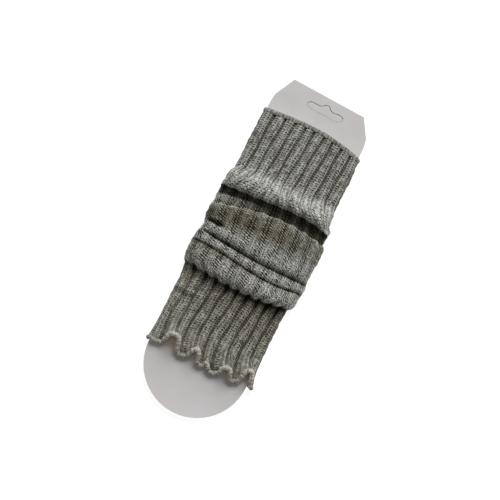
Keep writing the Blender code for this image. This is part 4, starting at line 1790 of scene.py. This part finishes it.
@dataclass
class Studio:
    """The pale floor, the soft light and the camera at the photograph's angle."""

    target: tuple[float, float, float] = (-3.034, 101.773, 3.8)
    heading: float = 26.353
    tilt: float = 8.0
    distance: float = 0.8
    lens: float = 70.095
    sensor: float = 36.0
    clip: tuple[float, float] = (0.01, 20.0)
    key_power: float = 16.5
    key_size: float = 0.8
    key_from: tuple[float, float, float] = (0.04, 1.0, 0.84)
    key_colour: tuple[float, float, float] = (1.0, 0.995, 0.985)
    fill_level: float = 0.22
    white: Colour = (1.0, 1.0, 1.0, 1.0)
    floor_glow: float = 0.86
    floor_size: float = 8.0
    floor_height: float = -0.0002
    floor_dark: Colour = (0.29, 0.29, 0.29, 1.0)
    floor_light: Colour = (0.31, 0.31, 0.31, 1.0)

    def camera(self, place: BoardPlace) -> bpy.types.Object:
        """Creates the camera and makes it the scene's own.

        Args:
            place: Where the board's axes lie in the frame.

        Returns:
            The camera.
        """
        head, tilt = math.radians(self.heading), math.radians(self.tilt)
        up_floor = Vector((-math.sin(head), math.cos(head), 0.0))
        right = Vector((math.cos(head), math.sin(head), 0.0))
        back = -up_floor * math.sin(tilt) + Vector((0, 0, 1)) * math.cos(tilt)
        up = up_floor * math.cos(tilt) + Vector((0, 0, 1)) * math.sin(tilt)
        data = bpy.data.cameras.new("photo_camera")
        data.lens, data.sensor_width = self.lens, self.sensor
        data.clip_start, data.clip_end = self.clip
        camera = bpy.data.objects.new("photo_camera", data)
        target = Vector(place.metres(np.array(self.target)))
        turn = Matrix((right, up, back)).transposed().to_4x4()
        camera.matrix_world = Matrix.Translation(target + back * self.distance) @ turn
        bpy.context.scene.collection.objects.link(camera)
        bpy.context.scene.camera = camera
        return camera

    def light(self) -> None:
        """Adds one big soft key light from the top of the board, and an even fill."""
        data = bpy.data.lights.new("soft_key", "AREA")
        data.shape, data.size, data.energy = "DISK", self.key_size, self.key_power
        data.color = self.key_colour
        key = bpy.data.objects.new("soft_key", data)
        away = Vector(self.key_from)
        key.location = away
        key.rotation_euler = away.to_track_quat("Z", "Y").to_euler()
        bpy.context.scene.collection.objects.link(key)
        world = bpy.data.worlds.new("soft_fill")
        world.use_nodes = True
        shade = world.node_tree.nodes["Background"]
        shade.inputs["Color"].default_value = self.white
        shade.inputs["Strength"].default_value = self.fill_level
        bpy.context.scene.world = world
        view = bpy.context.scene.view_settings
        view.view_transform, view.look, view.exposure, view.gamma = "Standard", "None", 0.0, 1.0

    def floor(self) -> bpy.types.Object:
        """Lays the pale floor under the part.

        Returns:
            The floor.
        """
        bpy.ops.object.select_all(action="DESELECT")
        bpy.ops.mesh.primitive_plane_add(size=self.floor_size, location=(0.0, 0.0, self.floor_height))
        plane = bpy.context.object
        plane.name = "pale_floor"
        desk = NodeDesk("pale_paper", roughness=0.9, specular=0.1)
        tone = desk.noise(3.0, 1.0)
        desk.set("Emission Color", self.white)
        desk.set("Emission Strength", self.floor_glow)
        desk.finish(plane, desk.mix(tone, self.floor_dark, self.floor_light), tone, 0.00001, 0.1)
        return plane


def main() -> None:
    """Builds every piece in order, dresses it and sets up the studio."""
    logging.basicConfig(level=logging.INFO, format="%(message)s")
    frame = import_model()
    place = BoardPlace()
    leg, welt_maker, rim_maker = KnitLeg(), RolledWelt(), OverlockRim()
    tube = leg.build(place)
    welt = welt_maker.build(leg, place)
    rim = rim_maker.build(leg, place)
    slot_line = Board().build(place)
    for piece in (tube, welt, rim, slot_line):
        LOG.info("%s: %d faces", piece.name, len(piece.data.polygons))
    HeatherKnit().dress(tube, leg, leg.courses, ribbed=True)
    HeatherKnit().dress(welt, leg, welt_maker.courses, ribbed=False)
    OverlockThread().dress(rim, rim_maker.windings)
    BoardCard().dress(frame["nodes"]["display_board"])
    CutLine().dress(slot_line)
    for piece, node, slot in (
        (tube, "leg_tube", "heather_knit"),
        (welt, "top_welt", "heather_knit"),
        (rim, "hem_edging", "overlock_thread"),
    ):
        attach(piece, "root")
        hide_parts(node)
    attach(slot_line, "root")
    leg.flat_cut()
    studio = Studio()
    studio.camera(place)
    studio.light()
    studio.floor()


if __name__ == "__main__":
    main()
